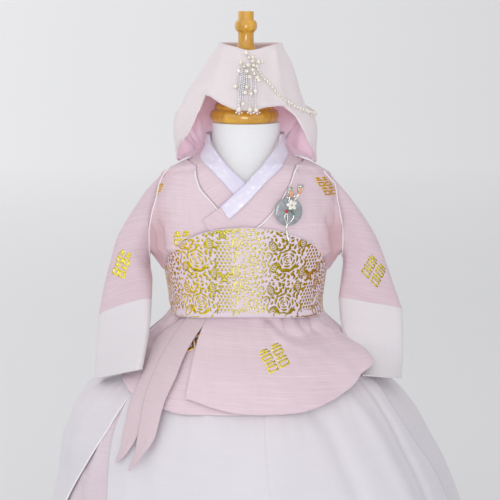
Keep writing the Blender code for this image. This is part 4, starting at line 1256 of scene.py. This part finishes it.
def floral_repeat(seed):
    """One repeat: the motifs, then small leaves laid round them wherever there is room."""
    shapes = [shape for motif, x, y in MOTIFS[:3] for shape in motif(x, y)]
    for x, y, lean in LEAVES:
        shapes += long_leaf(x, y, lean)
    chance = random.Random(seed)
    centres = np.array([(x, y) for _, x, y in MOTIFS])
    steps = [(i * REPEAT_WIDE, j * REPEAT_TALL) for i in (-1, 0, 1) for j in (-1, 0, 1)]
    taken = np.concatenate([np.array(shape) + step for shape in shapes for step in steps])
    for _ in range(FILL_TRIALS):
        x, y = chance.uniform(-20, REPEAT_WIDE - 20), chance.uniform(-REPEAT_TALL / 2, REPEAT_TALL / 2)
        toward = centres[np.argmin(((centres - (x, y)) ** 2).sum(axis=1))] - (x, y)
        lean = math.degrees(math.atan2(toward[1], toward[0]))
        lean = lean + chance.choice((62, 90, 118, -75)) + chance.uniform(-14, 14)
        long = chance.uniform(4.2, 7.2)
        leaf = drop(x, y, lean, long, 0.50 * long + 0.4, 4)
        middle = spot_at(x, y, lean, long / 2)
        corners = (leaf[0], middle, leaf[4], leaf[2], leaf[6])
        near = min(((taken - spot) ** 2).sum(axis=1).min() for spot in corners)
        if near > FILL_GAP**2:
            shapes.append(leaf)
            taken = np.concatenate([taken] + [np.array(leaf + [middle]) + step for step in steps])
    return shapes


def walked(spots):
    """How far along a line each of its spots is, in millimetres."""
    return np.concatenate([[0], np.cumsum(np.linalg.norm(np.diff(spots, axis=0), axis=1))]) / MM


FOIL_THICK = 0.12
FOIL_MARGIN = 1.0  # of plain silk at the belt's edges
FOIL_LIFT = 0.06  # off the belt
BELT_TURNS = np.linspace(-180, 180, 721)
BELT_WALK = walked(body(BELT_TURNS, 440.0, 9.0))
BELT_WALK -= np.interp(0, BELT_TURNS, BELT_WALK)


def on_belt(x, y):
    """Spots on the belt's face from their walks round it and heights, and whether they are on the cloth."""
    turn = np.interp(x, BELT_WALK, BELT_TURNS)
    top, bottom = belt_edges(turn)
    inside = ((y < top - 0.5) & (y > bottom + 0.5)).mean() > 0.2 and np.abs(x).max() < BELT_WALK[-1] - 1
    y = np.clip(y, bottom + FOIL_MARGIN, top - FOIL_MARGIN)
    return on_outline(WAIST, turn, y, belt_out(turn, y, bottom) + BELT_CLOTH + FOIL_LIFT), inside


def foil_piece(name, shapes, spot, finish):
    """Foil shapes laid on a surface. spot() places an outline and says whether it is on the cloth."""
    bm = bmesh.new()
    for outline in shapes:
        spots, inside = spot(np.array([p[0] for p in outline]), np.array([p[1] for p in outline]))
        if inside:
            corners = [bm.verts.new(place) for place in spots]
            half = len(corners) // 2
            for step in range(half - 1):
                quad = (corners[step], corners[step + 1], corners[-step - 2], corners[-step - 1])
                if quad[1] is not quad[2]:
                    bm.faces.new(dict.fromkeys(quad))
    bmesh.ops.remove_doubles(bm, verts=bm.verts, dist=1e-6)
    piece = wear(name, bm, finish)
    wall_maker = piece.modifiers.new("foil", "SOLIDIFY")
    wall_maker.thickness = FOIL_THICK * MM
    wall_maker.offset = 1.0


REPEAT_START = (-57.5, 408.5)  # walk and height of the first rose
belt_shapes = []
belt_repeat = floral_repeat(7)
for column in range(-3, 4):
    for row in range(-1, 3):
        step_x, step_y = REPEAT_START[0] + column * REPEAT_WIDE, REPEAT_START[1] + row * REPEAT_TALL
        belt_shapes += [[(x + step_x, y + step_y) for x, y in shape] for shape in belt_repeat]
foil_piece("belt_gold_foil", belt_shapes, on_belt, gold_foil("belt_gold", BELT_PAINTED_REFLECTIONS))

# Gold characters
# The jacket carries joined characters in gold foil on its sleeves, shoulders and fronts, each made of two
# columns of bars. They are pressed flat on the silk and are cut off where the next piece covers them.

CHARACTER_BAR = 0.072  # thickness, as a share of the height
CHARACTER_LIFT = 0.08
COLUMN_WIDE = 0.47  # as a share of the whole width

def bar(x0, y0, x1, y1, thick):
    """A foil bar between two spots, as four short lengths."""
    ends = np.array([(x0, y0), (x1, y1)], float)
    along = (ends[1] - ends[0]) / np.linalg.norm(ends[1] - ends[0])
    aside = np.array([-along[1], along[0]]) * thick / 2
    line = [ends[0] + (ends[1] - ends[0]) * step / 4 for step in range(5)]
    return [(start + aside, end + aside, end - aside, start - aside) for start, end in zip(line, line[1:])]


# Bars of one column: start across and up, end across and up, as shares of the column's width and height
CHARACTER_BARS = (
    (0.14, 0.94, 0.86, 0.94), (0.5, 1.0, 0.5, 0.84), (0.0, 0.83, 1.0, 0.83), (0.07, 0.70, 0.93, 0.70),
    (0.07, 0.54, 0.93, 0.54), (0.10, 0.72, 0.10, 0.52), (0.90, 0.72, 0.90, 0.52), (0.32, 0.47, 0.32, 0.38),
    (0.68, 0.47, 0.68, 0.38), (0.0, 0.37, 1.0, 0.37), (0.07, 0.24, 0.93, 0.24), (0.07, 0.04, 0.93, 0.04),
    (0.10, 0.26, 0.10, 0.02), (0.90, 0.26, 0.90, 0.02),
)


def character_shapes(wide, tall):
    shapes = []
    for left in (0.0, 1 - COLUMN_WIDE):
        for x0, y0, x1, y1 in CHARACTER_BARS:
            start, end = (left + COLUMN_WIDE * x0) * wide, (left + COLUMN_WIDE * x1) * wide
            lengths = bar(start, y0 * tall, end, y1 * tall, CHARACTER_BAR * tall)
            shapes += [[(x / wide, y / tall) for x, y in corners] for corners in lengths]
    return shapes


RAY_START = -400  # y, in front of everything


def seen_surface(name):
    """A piece's surface, ready for rays."""
    return BVHTree.FromObject(bpy.data.objects[name], bpy.context.evaluated_depsgraph_get())


def seen_spot(surface, x, height):
    """Where a surface is seen from in front, and its normal there."""
    return surface.ray_cast(Vector((x, RAY_START, height)) * MM, Vector((0, 1, 0)))[:2]


def pressed_on(name, corner, across, up):
    """A way to place outlines on a piece of cloth, straight back from a frame's corner and two sides."""
    surface = seen_surface(name)

    def spot(x, y):
        xs = corner[0] + across[0] * x + up[0] * y
        heights = corner[1] + across[1] * x + up[1] * y
        hits = [seen_spot(surface, *place) for place in zip(xs, heights)]
        if not all(hit is not None and normal.y < -0.04 for hit, normal in hits):
            return [], False
        return [hit + normal * CHARACTER_LIFT * MM for hit, normal in hits], True

    return spot


# Copies of one gold foil in painted reflection tones: bright, olive and brown, for how each place would catch
# the light
gold_painted_bright = gold_foil("character_gold_painted_bright")
gold_painted_olive = gold_foil("character_gold_painted_olive", ((0, (0.66, 0.58, 0.03)),))
gold_painted_brown = gold_foil("character_gold_painted_brown", ((0, (0.84, 0.46, 0.02)),))
# name, its cloth, lower left corner's x and height, side across, side up, foil
for name, carrier, corner, across, up, gold in (
    ("sleeve_left", "sleeve_left_silk", (142.5, 441.7), (20.7, -21.5), (12.0, 22.6), gold_painted_olive),
    ("sleeve_right", "sleeve_right_silk", (-166.2, 439.1), (15.3, -5.8), (10.6, 31.0), gold_painted_bright),
    ("flap", "dangui_front_lapping", (28.0, 336.0), (25.7, 9.6), (-13.7, 22.0), gold_painted_bright),
    ("shoulder_left", "dangui_front_lapping", (98.4, 537.4), (16.0, -0.5), (-15.5, 22.8), gold_painted_brown),
    ("chest", "dangui_front_beneath", (-84.8, 459.2), (20.7, 3.3), (-4.2, 35.1), gold_painted_bright),
    ("shoulder_right", "dangui_front_beneath", (-129.1, 527.6), (16.0, 1.3), (13.6, 22.6), gold_painted_brown),
    ("beneath", "dangui_front_beneath", (-74.4, 353.5), (26.7, 10.6), (-8.3, 30.7), gold_painted_brown),
):
    shapes = character_shapes(math.hypot(*across), math.hypot(*up))
    foil_piece("character_" + name, shapes, pressed_on(carrier, corner, across, up), gold)

# Ties
# Two flat ties of the jacket's silk hang from under the belt. Each is a band sewn double, turned out and
# pressed, and its slanting end is rolled over along the seam.

# height, turn of one edge, turn of the other
TIE_LONG = (
    (394, -48, -38), (384, -53, -40), (363, -60, -42), (338, -51.5, -39.5), (309, -45.5, -37),
    (290.4, -43.4, -36.2), (274.5, -41.8, -35.5), (260.9, -41.3, -35.9), (249.9, -41.0, -37.2),
    (238.2, -41.5, -39.2), (231.2, -41.9, -41.3),
)
TIE_SHORT = (
    (394, -46, -28.5), (384, -46, -29), (357, -45, -31), (330, -42, -30), (309, -39, -29.5),
    (295.4, -37.1, -29.2), (277.6, -35.5, -28.8), (267.8, -35.2, -28.8), (257, -34.9, -29.7),
    (245.2, -34.7, -31.8), (236.1, -35.3, -33.4), (225.6, -36.2, -35.7),
)


TIE_BOW = 0.9  # how far a tie's middle stands out past its edges
TIE_ROLL = 1.5  # how far the seam stands out near the end


def tie_place(table, out):
    def place(across, up):
        height, start, end = np.moveaxis(through(table[::-1], up), -1, 0)
        roll = np.exp(-(((across - 0.72) / 0.13) ** 2)) * smooth((4.4 - up * (len(table) - 1)) / 1.2)
        bow = TIE_BOW * np.sin(math.pi * across) + 0.5 * np.sin(up * 11) * across
        return body(start * (1 - across) + end * across, height, out + bow + TIE_ROLL * roll)

    return place


# The ties' silk and edges are darker copies of the jacket's: painted shade
tie_silk_painted_shade = slub_silk("tie_slub_silk_painted_darker", (0.69, 0.565, 0.605), (0.61, 0.485, 0.53))
tie_edge_painted_shade = slub_silk("tie_pressed_edge_painted_darker", (0.72, 0.56, 0.60), (0.62, 0.46, 0.50))
for name, table, out in (("goreum_long", TIE_LONG, 5.6), ("goreum_short", TIE_SHORT, 7.8)):
    finishes, place = (tie_silk_painted_shade, tie_edge_painted_shade), tie_place(table, out)
    tie = cloth(f"{name}_silk", finishes, 24, 110, place, THIN_CLOTH, name, "pink_cloth")

# Cap
# A small winter cap, open at the crown, with long flaps beside the face. The outside is pale felted silk and
# the lining pink satin, eased into soft puffs low in the flaps. Narrow rolls of cloth close the edges.

# The cap's outline: height, half width, depth in front, depth behind, middle
CAP = (
    (724, 38, 32, 33, 5.5), (700, 51, 42, 45, 3.5), (680, 61, 49, 55, 1), (660, 70.5, 56, 63, -3),
    (645, 77, 60, 68, -3.5), (635, 85, 61, 71, -2), (615, 88.5, 61, 74, -1), (590, 86.5, 59, 76, 0),
    (574, 86, 57, 77, 1),
)
# Its lower edge: turn, height
CAP_EDGE = (
    (-180, 583), (-150, 582), (-120, 579), (-100, 576.5), (-88, 580.5), (-80, 590.6), (-70, 599.6),
    (-60.4, 605.9), (-51.7, 614.5), (-45.5, 629), (-42.8, 645), (-42, 662), (-34, 660), (-20, 651.5),
    (-6, 644.5), (8, 644), (22, 648), (36, 649), (41.5, 648.5), (45.6, 642.8), (51.8, 624.2), (60.9, 605.2),
    (72.7, 593.1), (82, 585), (90, 576.5), (98, 575.5), (120, 579), (150, 582), (180, 583),
)
CAP_TOP = 722
# How far the rim dips: turn, drop
RIM_DIP = ((0, 8.2), (8, 7.6), (30, 4.0), (55, 1.4), (80, 0.0), (150, 0.6), (180, 1.2))
FACING = 704  # height above which the inside is faced with felt
CAP_CLOTH = 1.2
CAP_GIRTH = 78
LINING_GAP = 1.9

# Dents of the felt: start turn and height, middle, end, half width, lift
CAP_DENTS = (
    (-52, 716, -38, 690, -40, 662, 8, 1.7), (-26, 700, -24, 680, -30, 660, 10, -1.3),
    (46, 716, 40, 690, 40, 654, 8, 1.5), (28, 700, 26, 680, 30, 655, 10, -1.2),
    (-70, 690, -66, 650, -72, 610, 11, 1.6), (70, 690, 68, 650, 74, 610, 11, 1.6),
    (-92, 680, -96, 640, -92, 600, 10, -1.6), (94, 680, 98, 640, 94, 600, 10, -1.6),
    (130, 690, 128, 640, 134, 590, 12, 2.0), (-130, 690, -126, 640, -132, 590, 12, 2.0),
    (160, 700, 164, 650, 160, 600, 11, -1.6), (-158, 700, -166, 650, -160, 600, 11, -1.6),
)
# Puffs and creases of the lining
LINING_PUFFS = (
    (120, 580, 118, 600, 113, 616, 15, 11.0), (148, 583, 141, 607, 124, 630, 3.2, -3.4),
    (127, 590, 126, 600, 126, 610, 2.6, 3.0), (134, 590, 133, 604, 131, 618, 2.6, 2.6),
    (104, 582, 102, 596, 100, 610, 5, -2.4), (-116, 580, -112, 596, -106, 606, 13, 9.0),
    (-137, 583, -116, 592, -97, 603, 2.3, 3.4), (-137, 584, -124, 600, -113, 613, 2.3, 3.8),
    (-138, 584, -132, 602, -125, 618, 2.3, 3.2), (-138, 586, -139, 604, -138, 622, 2.4, 2.8),
    (-130, 590, -116, 601, -104, 609, 2.2, -2.6), (-134, 592, -126, 606, -119, 617, 2.2, -2.6),
    (-90, 640, -84, 670, -80, 700, 10, 1.8), (90, 640, 84, 670, 80, 700, 10, 1.8),
    (160, 600, 164, 640, 160, 690, 12, 2.0), (-160, 600, -164, 640, -160, 690, 12, 2.0),
)


def cap_limits(turn):
    """The heights of the cap's lower edge and rim."""
    return straight(CAP_EDGE, turn), CAP_TOP - eased(RIM_DIP, np.abs(turn))[..., 0]


def cap_place(table, lower_ease, depth, sign):
    """Where a layer of the cap lies: inside the outline by a depth, with its folds outwards or inwards."""

    def place(across, up):
        turn = 360 * across - 180
        edge, rim = cap_limits(turn)
        height = edge + (rim - edge) * up
        ease = smooth(up / lower_ease) * smooth((1 - up) / 0.1)
        return on_outline(CAP, turn, height, sign * folds(table, turn, height, CAP_GIRTH) * ease - depth)

    return place


def felted_silk():
    """Pale brushed silk with a short nap that hides the weave."""
    felt = Finish(
        "pale_felted_silk", Roughness=0.82, Sheen_Weight=0.35, Sheen_Roughness=0.5, Specular_IOR_Level=0.25
    )
    bolt = felt.places()
    nap = felt.noise(bolt, (900, 900, 1), 2, 0.6)
    cloud = felt.noise(bolt, (16, 16, 1), 3)
    felt.relief(nap, 0.00012)
    shade = felt.between(nap * 0.4 + cloud * 0.6, 0.32, 0.68)
    return felt.paint(Base_Color=felt.blend(shade, (0.745, 0.670, 0.690), (0.80, 0.735, 0.755)))


# The lining's glow is painted light
LINING_PAINTED_GLOW = 0.18  # for the light that comes through the thin cap


def lining_satin():
    """Pink satin, smooth and shiny, with fine floats of thread. It is painted lighter and more lilac low in
    the flaps, as painted sheen, and given a painted glow, strong low down and faint higher up.
    """
    satin = Finish(
        "pink_lining_satin", Roughness=0.36, Specular_IOR_Level=0.6, Sheen_Weight=0.3, Sheen_Roughness=0.3,
        Emission_Strength=LINING_PAINTED_GLOW,
    )
    bolt = satin.places()
    floats = satin.noise(bolt, (60, 1500, 1), 1)
    cloud = satin.noise(bolt, (24, 18, 1), 3)
    satin.relief(floats, 0.00005)
    height = satin.axis(satin.places("Object"), 2)
    # Painted light: lighter and glowing below 605 to 632 mm, low in the flaps
    low = 1 - satin.between(height, 0.605, 0.632)
    deep = satin.blend(low, (0.84, 0.59, 0.67), (0.93, 0.74, 0.84))
    pale = satin.blend(low, (0.90, 0.67, 0.75), (0.97, 0.85, 0.94))
    return satin.paint(
        Base_Color=satin.blend(satin.between(cloud, 0.3, 0.7), deep, pale),
        Emission_Color=satin.blend(low, (0.25, 0.12, 0.15), (0.9, 0.66, 0.78)),
    )


FLAP_BACK = 98  # turn past which the edge's roll is of the lining
cap_felt = felted_silk()
satin = lining_satin()
cap_roll = slub_silk("cap_edge_silk", (0.85, 0.76, 0.785), (0.80, 0.70, 0.735))
shell_place = cap_place(CAP_DENTS, 0.1, 0.0, 1)
lining_place = cap_place(LINING_PUFFS, 0.06, LINING_GAP, -1)
outer, inner = (cap_felt, cap_roll), (satin, cap_felt, cap_roll)
cap_outside = cloth("cap_felt", outer, 220, 40, shell_place, CAP_CLOTH, "cap_shell", "cap_cloth", True)
cap_inside = cloth("cap_satin", inner, 220, 55, lining_place, CAP_CLOTH, "cap_lining", "pink_satin", True)
for face in cap_inside.data.polygons:
    face.material_index = 1 if face.center.z > FACING * MM else 0

ROLL_RADIUS = 1.15
edge_turns = np.linspace(-180, 180, 361)
behind_turns = edge_turns[edge_turns >= FLAP_BACK] - 360, edge_turns[edge_turns <= -FLAP_BACK]
for name, turns, edge, roll in (
    ("cap_rim_roll", edge_turns, 1, cap_roll),
    ("cap_edge_roll", edge_turns[np.abs(edge_turns) <= FLAP_BACK], 0, cap_roll),
    # The roll behind is of the lining's satin, and so carries its painted glow
    ("cap_back_roll", np.concatenate(behind_turns), 0, satin),
):
    spots = on_outline(CAP, turns, cap_limits((turns + 180) % 360 - 180)[edge], -0.3)
    cord_run(name, spots, ROLL_RADIUS, roll)

# Pearl tassel and string
# Round pearls are wired in a cluster below the rim, with strands of seed pearls that end in larger ones. A
# double string of seed pearls runs from it round the flap, and is sewn to the cap as it goes.

PEARL_OUT = 3.6  # from the cap's cloth to the middle of a larger pearl
PEARL_SWELL = 1.05
TIP_DROP = 4.6  # from the middle of a last pearl to the seeds under it


def pearl_finish(name, deep, pale):
    """Pearl with a soft deep lustre."""
    pearl = Finish(
        name, Roughness=0.16, Metallic=0.3, Coat_Weight=1.0, Coat_Roughness=0.04, Specular_IOR_Level=0.8
    )
    cloud = pearl.noise(pearl.places("Object"), (260, 260, 260), 2)
    tone = pearl.blend(pearl.between(cloud, 0.35, 0.65), deep, pale)
    return pearl.paint(Base_Color=tone)


def beads(name, groups, finish):
    """Round beads joined in one mesh, from groups of a radius, its number of sides and the spots."""
    bm = bmesh.new()
    for radius, sides, spots in groups:
        ball = {"u_segments": sides, "v_segments": sides * 2 // 3, "radius": radius * MM}
        for spot in spots:
            bmesh.ops.create_uvsphere(bm, **ball, matrix=Matrix.Translation(spot))
    return wear(name, bm, finish)


def strand(stops, step, out, sway=0.0):
    """Evenly spaced spots along a line over the cap, through stops of turn, height and distance out."""
    values = through(stops, np.linspace(0, 1, 400))
    lift = values[:, 2] if values.shape[1] > 2 else 0.0
    route = on_outline(CAP, values[:, 0], values[:, 1], out + lift)
    walk = walked(route)
    marks = np.arange(0, walk[-1], step)
    spots = np.stack([np.interp(marks, walk, route[:, axis]) for axis in range(3)], -1)
    spots[:, 2] += sway * np.sin(marks * 0.35) * MM
    return spots


# turn, height, radius of each larger pearl
LARGE_PEARLS = (
    (-5.5, 712.1, 3.0), (5.0, 706.9, 2.7), (-0.5, 706.3, 1.9), (4.7, 702.0, 2.5), (12.2, 701.4, 2.6),
    (17.2, 701.1, 2.0), (-9.9, 700.2, 2.8), (-0.4, 697.2, 2.6), (6.2, 697.2, 2.3), (10.3, 696.0, 2.2),
    (-5.2, 695.4, 2.0), (-10.5, 690.5, 2.6), (-1.0, 689.9, 2.7), (5.8, 691.5, 2.6), (3.0, 683.3, 2.8),
    (7.4, 687.3, 2.0), (11.1, 683.0, 2.6), (12.8, 679.4, 2.3), (-10.2, 672.5, 3.0), (1.7, 671.4, 2.5),
    (10.8, 666.4, 2.6), (6.9, 663.6, 2.5), (1.2, 664.8, 2.5), (0.2, 651.4, 2.7), (-3.6, 644.5, 3.1),
    (5.9, 644.5, 3.1), (11.1, 644.4, 3.1),
)
# Stops of each strand: turn, height
STRANDS = (
    ((-10.8, 689), (-11.0, 682), (-10.3, 676)), ((-8.2, 696), (-5.6, 671), (-4.3, 656), (-3.9, 647)),
    ((-6.0, 692), (-3.6, 671), (-2.9, 656), (-3.1, 647)), ((-4.2, 694), (-1.7, 671), (-0.2, 654)),
    ((-2.0, 690), (0.9, 673), (1.3, 667)), ((3.4, 682), (6.4, 665), (5.6, 647)),
    ((4.6, 682), (6.9, 665), (6.6, 647)), ((8.4, 686), (10.7, 668), (11.1, 647)),
)
# The string's way round: turn, height, distance out
STRING_ROUTE = (
    (12, 692, 0.6), (20, 681, 0.6), (27, 673.5, 0.6), (35, 663, 0.6), (44, 653.5, 1.2), (53, 647, 2.2),
    (62, 641.5, 2.8), (71, 638, 2.2), (80, 636.5, 1.4), (92, 637, 1.2), (106, 640, 2.0), (120, 646, 2.4),
    (132, 654, 2.0),
)

cream_pearl = pearl_finish("cream_pearl", (0.80, 0.74, 0.62), (0.93, 0.90, 0.84))
large = []
for turn, height, radius in LARGE_PEARLS:
    large.append((radius * PEARL_SWELL, 18, [on_outline(CAP, turn, height, CAP_CLOTH + PEARL_OUT)]))
fit(beads("pearl_tassel", large, cream_pearl), "cap_tassel")

# The last three of the larger pearls end in seeds
seeds = [strand(stops, 2.6, CAP_CLOTH + 2.2) for stops in STRANDS]
for turn, height, _ in LARGE_PEARLS[-3:]:
    for aside in (-2.2, 0, 2.2):
        drop_height = height - TIP_DROP + abs(aside) * 0.5
        seeds.append([on_outline(CAP, turn + aside, drop_height, CAP_CLOTH + 3.0)])
seed_pearl = pearl_finish("white_seed_pearl", (0.78, 0.77, 0.80), (0.93, 0.92, 0.95))
beads("seed_pearls", [(1.2, 8, spots) for spots in seeds], seed_pearl)

string = beads(
    "pearl_string",
    [
        (1.75, 12, strand(STRING_ROUTE, 4.6, CAP_CLOTH + 1.4, 0.6)),
        (1.25, 10, strand(STRING_ROUTE, 4.6, CAP_CLOTH + 0.6, -1.4) + np.array([0.0012, 0, -0.0016])),
    ],
    cream_pearl,
)
fit(string, "cap_string")

# Brooch
# A spray of silver wire, buds and a blossom is bound to a disc of grey shell and pinned to the lapping front.
# The petals are white enamel, the buds coral under silver sepals, and small glass beads hide the binding.

BROOCH_TURN, BROOCH_HEIGHT, BROOCH_OUT = 24, 521.5, 11.2
brooch_middle = Vector(body(BROOCH_TURN, BROOCH_HEIGHT, BROOCH_OUT))
brooch_sides = [body(BROOCH_TURN + step, BROOCH_HEIGHT, BROOCH_OUT) for step in (-8, 8)]
brooch_across = Vector(brooch_sides[1] - brooch_sides[0]).normalized()
brooch_face = brooch_across.cross(Vector((0, 0, 1))).normalized()
brooch_turned = Matrix((brooch_across, (0, 0, 1), brooch_face)).transposed().to_4x4()
BROOCH_FRAME = Matrix.Translation(brooch_middle) @ brooch_turned


def brooch_round(name, parts, finish, node=None):
    """Rounded parts of the brooch in one mesh: right, up, forward, then half sizes, then lean in degrees."""
    bm = bmesh.new()
    for right, up, forward, half_wide, half_tall, half_deep, lean in parts:
        place = BROOCH_FRAME @ Matrix.Translation(Vector((right, up, forward)) * MM)
        place = place @ Matrix.Rotation(math.radians(lean), 4, "Z")
        place = place @ Matrix.Diagonal((half_wide, half_tall, half_deep, 1))
        bmesh.ops.create_uvsphere(bm, u_segments=24, v_segments=14, radius=MM, matrix=place)
    piece = wear(name, bm, finish)
    if node:
        fit(piece, node)


def shell_finish():
    """Grey mother-of-pearl with a painted sheen, in brighter and darker sectors that fan out from the middle.
    """
    shell = Finish("grey_shell", Roughness=0.22, Coat_Weight=0.6, Coat_Roughness=0.05)
    spots = shell.places("Object")
    aside = shell.axis(spots, 0) - brooch_middle.x
    tall = shell.axis(spots, 2) - brooch_middle.z
    angle = tall.sum("ARCTAN2", tall, aside)
    painted_sheen_fan = shell.noise(shell.node("CombineXYZ", None, {0: angle}), (1.6, 1, 1), 3, 0.6)
    cloud = shell.noise(spots, (90, 90, 90), 2)
    tone = shell.blend(shell.between(painted_sheen_fan, 0.3, 0.7), (0.15, 0.175, 0.195), (0.46, 0.49, 0.505))
    return shell.paint(Base_Color=shell.blend(cloud * 0.5, tone, (0.29, 0.30, 0.33)))


def plain_finish(name, colour, rough, **fixed):
    finish = Finish(name, Roughness=rough, **fixed)
    wear_cloud = finish.noise(finish.places("Object"), (400, 400, 400), 2)
    darker = tuple(part * 0.82 for part in colour)
    return finish.paint(Base_Color=finish.blend(wear_cloud, darker, colour))


brooch_round("shell_disc", ((0, 0, 1.0, 17.4, 17.4, 2.0, 0),), shell_finish(), "brooch_disc")

white_enamel = plain_finish("white_enamel", (0.90, 0.885, 0.86), 0.3, Coat_Weight=0.4)
coral = plain_finish("orange_coral", (0.86, 0.40, 0.17), 0.25, Coat_Weight=0.5)
silver = plain_finish("bright_silver", (0.86, 0.85, 0.82), 0.2, Metallic=1.0)
dull_silver = plain_finish("dull_silver", (0.60, 0.585, 0.56), 0.28, Metallic=1.0)
red_glass = plain_finish("red_glass", (0.62, 0.02, 0.02), 0.15, Coat_Weight=0.6)
green_glass = plain_finish("green_glass", (0.03, 0.33, 0.20), 0.15, Coat_Weight=0.6)

BUDS = ((1.6, 22.6, 4.2, 10), (13.4, 26.0, 3.8, -12))  # right, up, forward, lean
for number, (right, up, forward, lean) in enumerate(BUDS, 1):
    name = f"bud_{number}"
    brooch_round(name, ((right, up, forward, 3.3, 5.0, 2.5, lean),), coral, f"brooch_{name}")
    sine, cosine = math.sin(math.radians(lean)), math.cos(math.radians(lean))
    sepals = []
    for side in (-1, 1):
        aside, above = side * 2.6 * cosine - 1.2 * sine, side * 2.6 * sine + 1.2 * cosine
        sepals.append((right + aside, up + above, forward + 0.6, 1.2, 5.6, 1.8, lean - side * 9))
    sepals.append((right - 4.6 * sine, up + 4.6 * cosine, forward, 3.4, 2.8, 2.5, lean))
    brooch_round(f"{name}_sepals", sepals, dull_silver)

BLOSSOM_RING = 3.6  # from the blossom's middle to its petals'
BLOSSOM_MIDDLE = (2.9, 8.0)
petals = []
for lean in range(10, 370, 72):
    petals.append((*spot_at(*BLOSSOM_MIDDLE, 90 + lean, BLOSSOM_RING), 4.9, 2.3, 3.3, 0.8, lean))
brooch_round("blossom_petals", petals, white_enamel, "brooch_blossom")
olive_enamel = plain_finish("olive_enamel", (0.45, 0.42, 0.05), 0.3)
brooch_round("blossom_middle", ((*BLOSSOM_MIDDLE, 6.0, 1.2, 1.2, 0.9, 0),), olive_enamel)

red_beads = ((-3.3, 0.6, 5.2, 2.0, 2.0, 1.8, 0), (2.6, 0.6, 4.4, 1.2, 1.1, 1.1, 0))
brooch_round("red_bead", red_beads, red_glass, "brooch_red_bead")
green_beads = ((0.2, 2.2, 4.6, 2.2, 1.3, 1.3, 0), (5.2, -1.8, 4.4, 1.2, 2.5, 1.2, 22))
brooch_round("green_bead", green_beads, green_glass, "brooch_green_bead")

# Wires of the spray: radius, then right, up and forward of each bend
WIRES = (
    (
        0.85,
        (
            (-4.6, -2.5, 3.6), (-5.6, -6, 3.6), (-5.0, -10, 3.4), (-3.0, -14, 3.2), (-3.0, -20, 2.8),
            (-2.6, -28, 2.8), (-0.6, -35, 3.2),
        ),
    ),
    (
        0.85,
        (
            (5.6, -4.5, 3.6), (5.2, -7.5, 3.6), (2.4, -11.5, 3.4), (-1.6, -14.6, 3.2), (-3.2, -19, 3.2),
            (-1.4, -28, 3.0), (-0.2, -36, 3.2),
        ),
    ),
    (0.7, ((-3.0, -2.0, 3.8), (-2.2, -6, 4.0), (-2.4, -10, 3.8), (-2.8, -14, 3.6))),
    (0.8, ((1.2, 10, 3.2), (-0.4, 13, 3.0), (0.4, 16, 3.2), (1.2, 19, 3.4))),
    (0.9, ((4.4, 10, 3.4), (7.4, 14.5, 3.0), (9.8, 18, 3.0), (12.4, 21.5, 3.2))),
)
for number, (radius, bends) in enumerate(WIRES):
    spots = [BROOCH_FRAME @ (Vector(spot) * MM) for spot in through(bends, np.linspace(0, 1, 24))]
    wire = cord_run(f"silver_wire_{number}", spots, radius, silver)
    if number == 0:
        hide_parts("brooch_branch")
small_leaves = (
    (7.4, 19.0, 3.6, 1.1, 2.2, 0.6, -60), (-1.6, 17.0, 3.4, 1.0, 2.0, 0.6, 50),
    (11.5, 18.5, 3.4, 0.9, 1.8, 0.6, -75),
)
brooch_round("small_leaves", small_leaves, silver)

# Armhole seams
# A pale cord lies in each seam where the sleeve is set into the body, from the shoulder to below the armpit
# in front, and along the body's edge behind.

SEAM_CORD = 0.85
SEAM_OUT = 0.3  # how far the cord in front stands out of the cloth's face
# In front, for each sleeve: height, distance from the middle
FRONT_SEAMS = {
    "left": (
        (566, 97), (557, 103.5), (548.7, 110.2), (532.4, 112.8), (513, 116.6), (494.7, 119.6), (478, 120.2),
        (457, 119.6),
    ),
    "right": (
        (570, -94), (564.4, -99.6), (557, -104), (548.6, -107.4), (530.1, -111.3), (511.7, -116.5),
        (487.9, -120.0), (457, -120.2),
    ),
}
seam_heights = np.linspace(459, 557, 70)
seam_turns = straight(ARMHOLE, seam_heights)
for side, sign, front in (("left", 1, "dangui_front_lapping"), ("right", -1, "dangui_front_beneath")):
    behind = body(180 - sign * seam_turns, seam_heights, UNDER_OUT + CLOTH + 0.4)
    cord_run(f"armhole_back_{side}", behind, SEAM_CORD, white_cord)
    seam = FRONT_SEAMS[side]
    heights = np.linspace(seam[-1][0], seam[0][0], 90)
    aside = eased(seam, heights)[..., 0]
    surfaces = [seen_surface(front), seen_surface(f"sleeve_{side}_silk")]
    depths = []
    for x, height in zip(aside, heights):
        hits = [seen_spot(surface, x, height)[0] for surface in surfaces]
        depths.append(min((hit.y for hit in hits if hit), default=0))
    depths = np.minimum(depths, np.convolve(np.pad(depths, 4, mode="edge"), np.ones(9) / 9, "valid"))
    spots = np.stack([aside * MM, depths - SEAM_OUT * MM, heights * MM], -1)
    cord_run(f"armhole_front_{side}", spots, SEAM_CORD, white_cord)
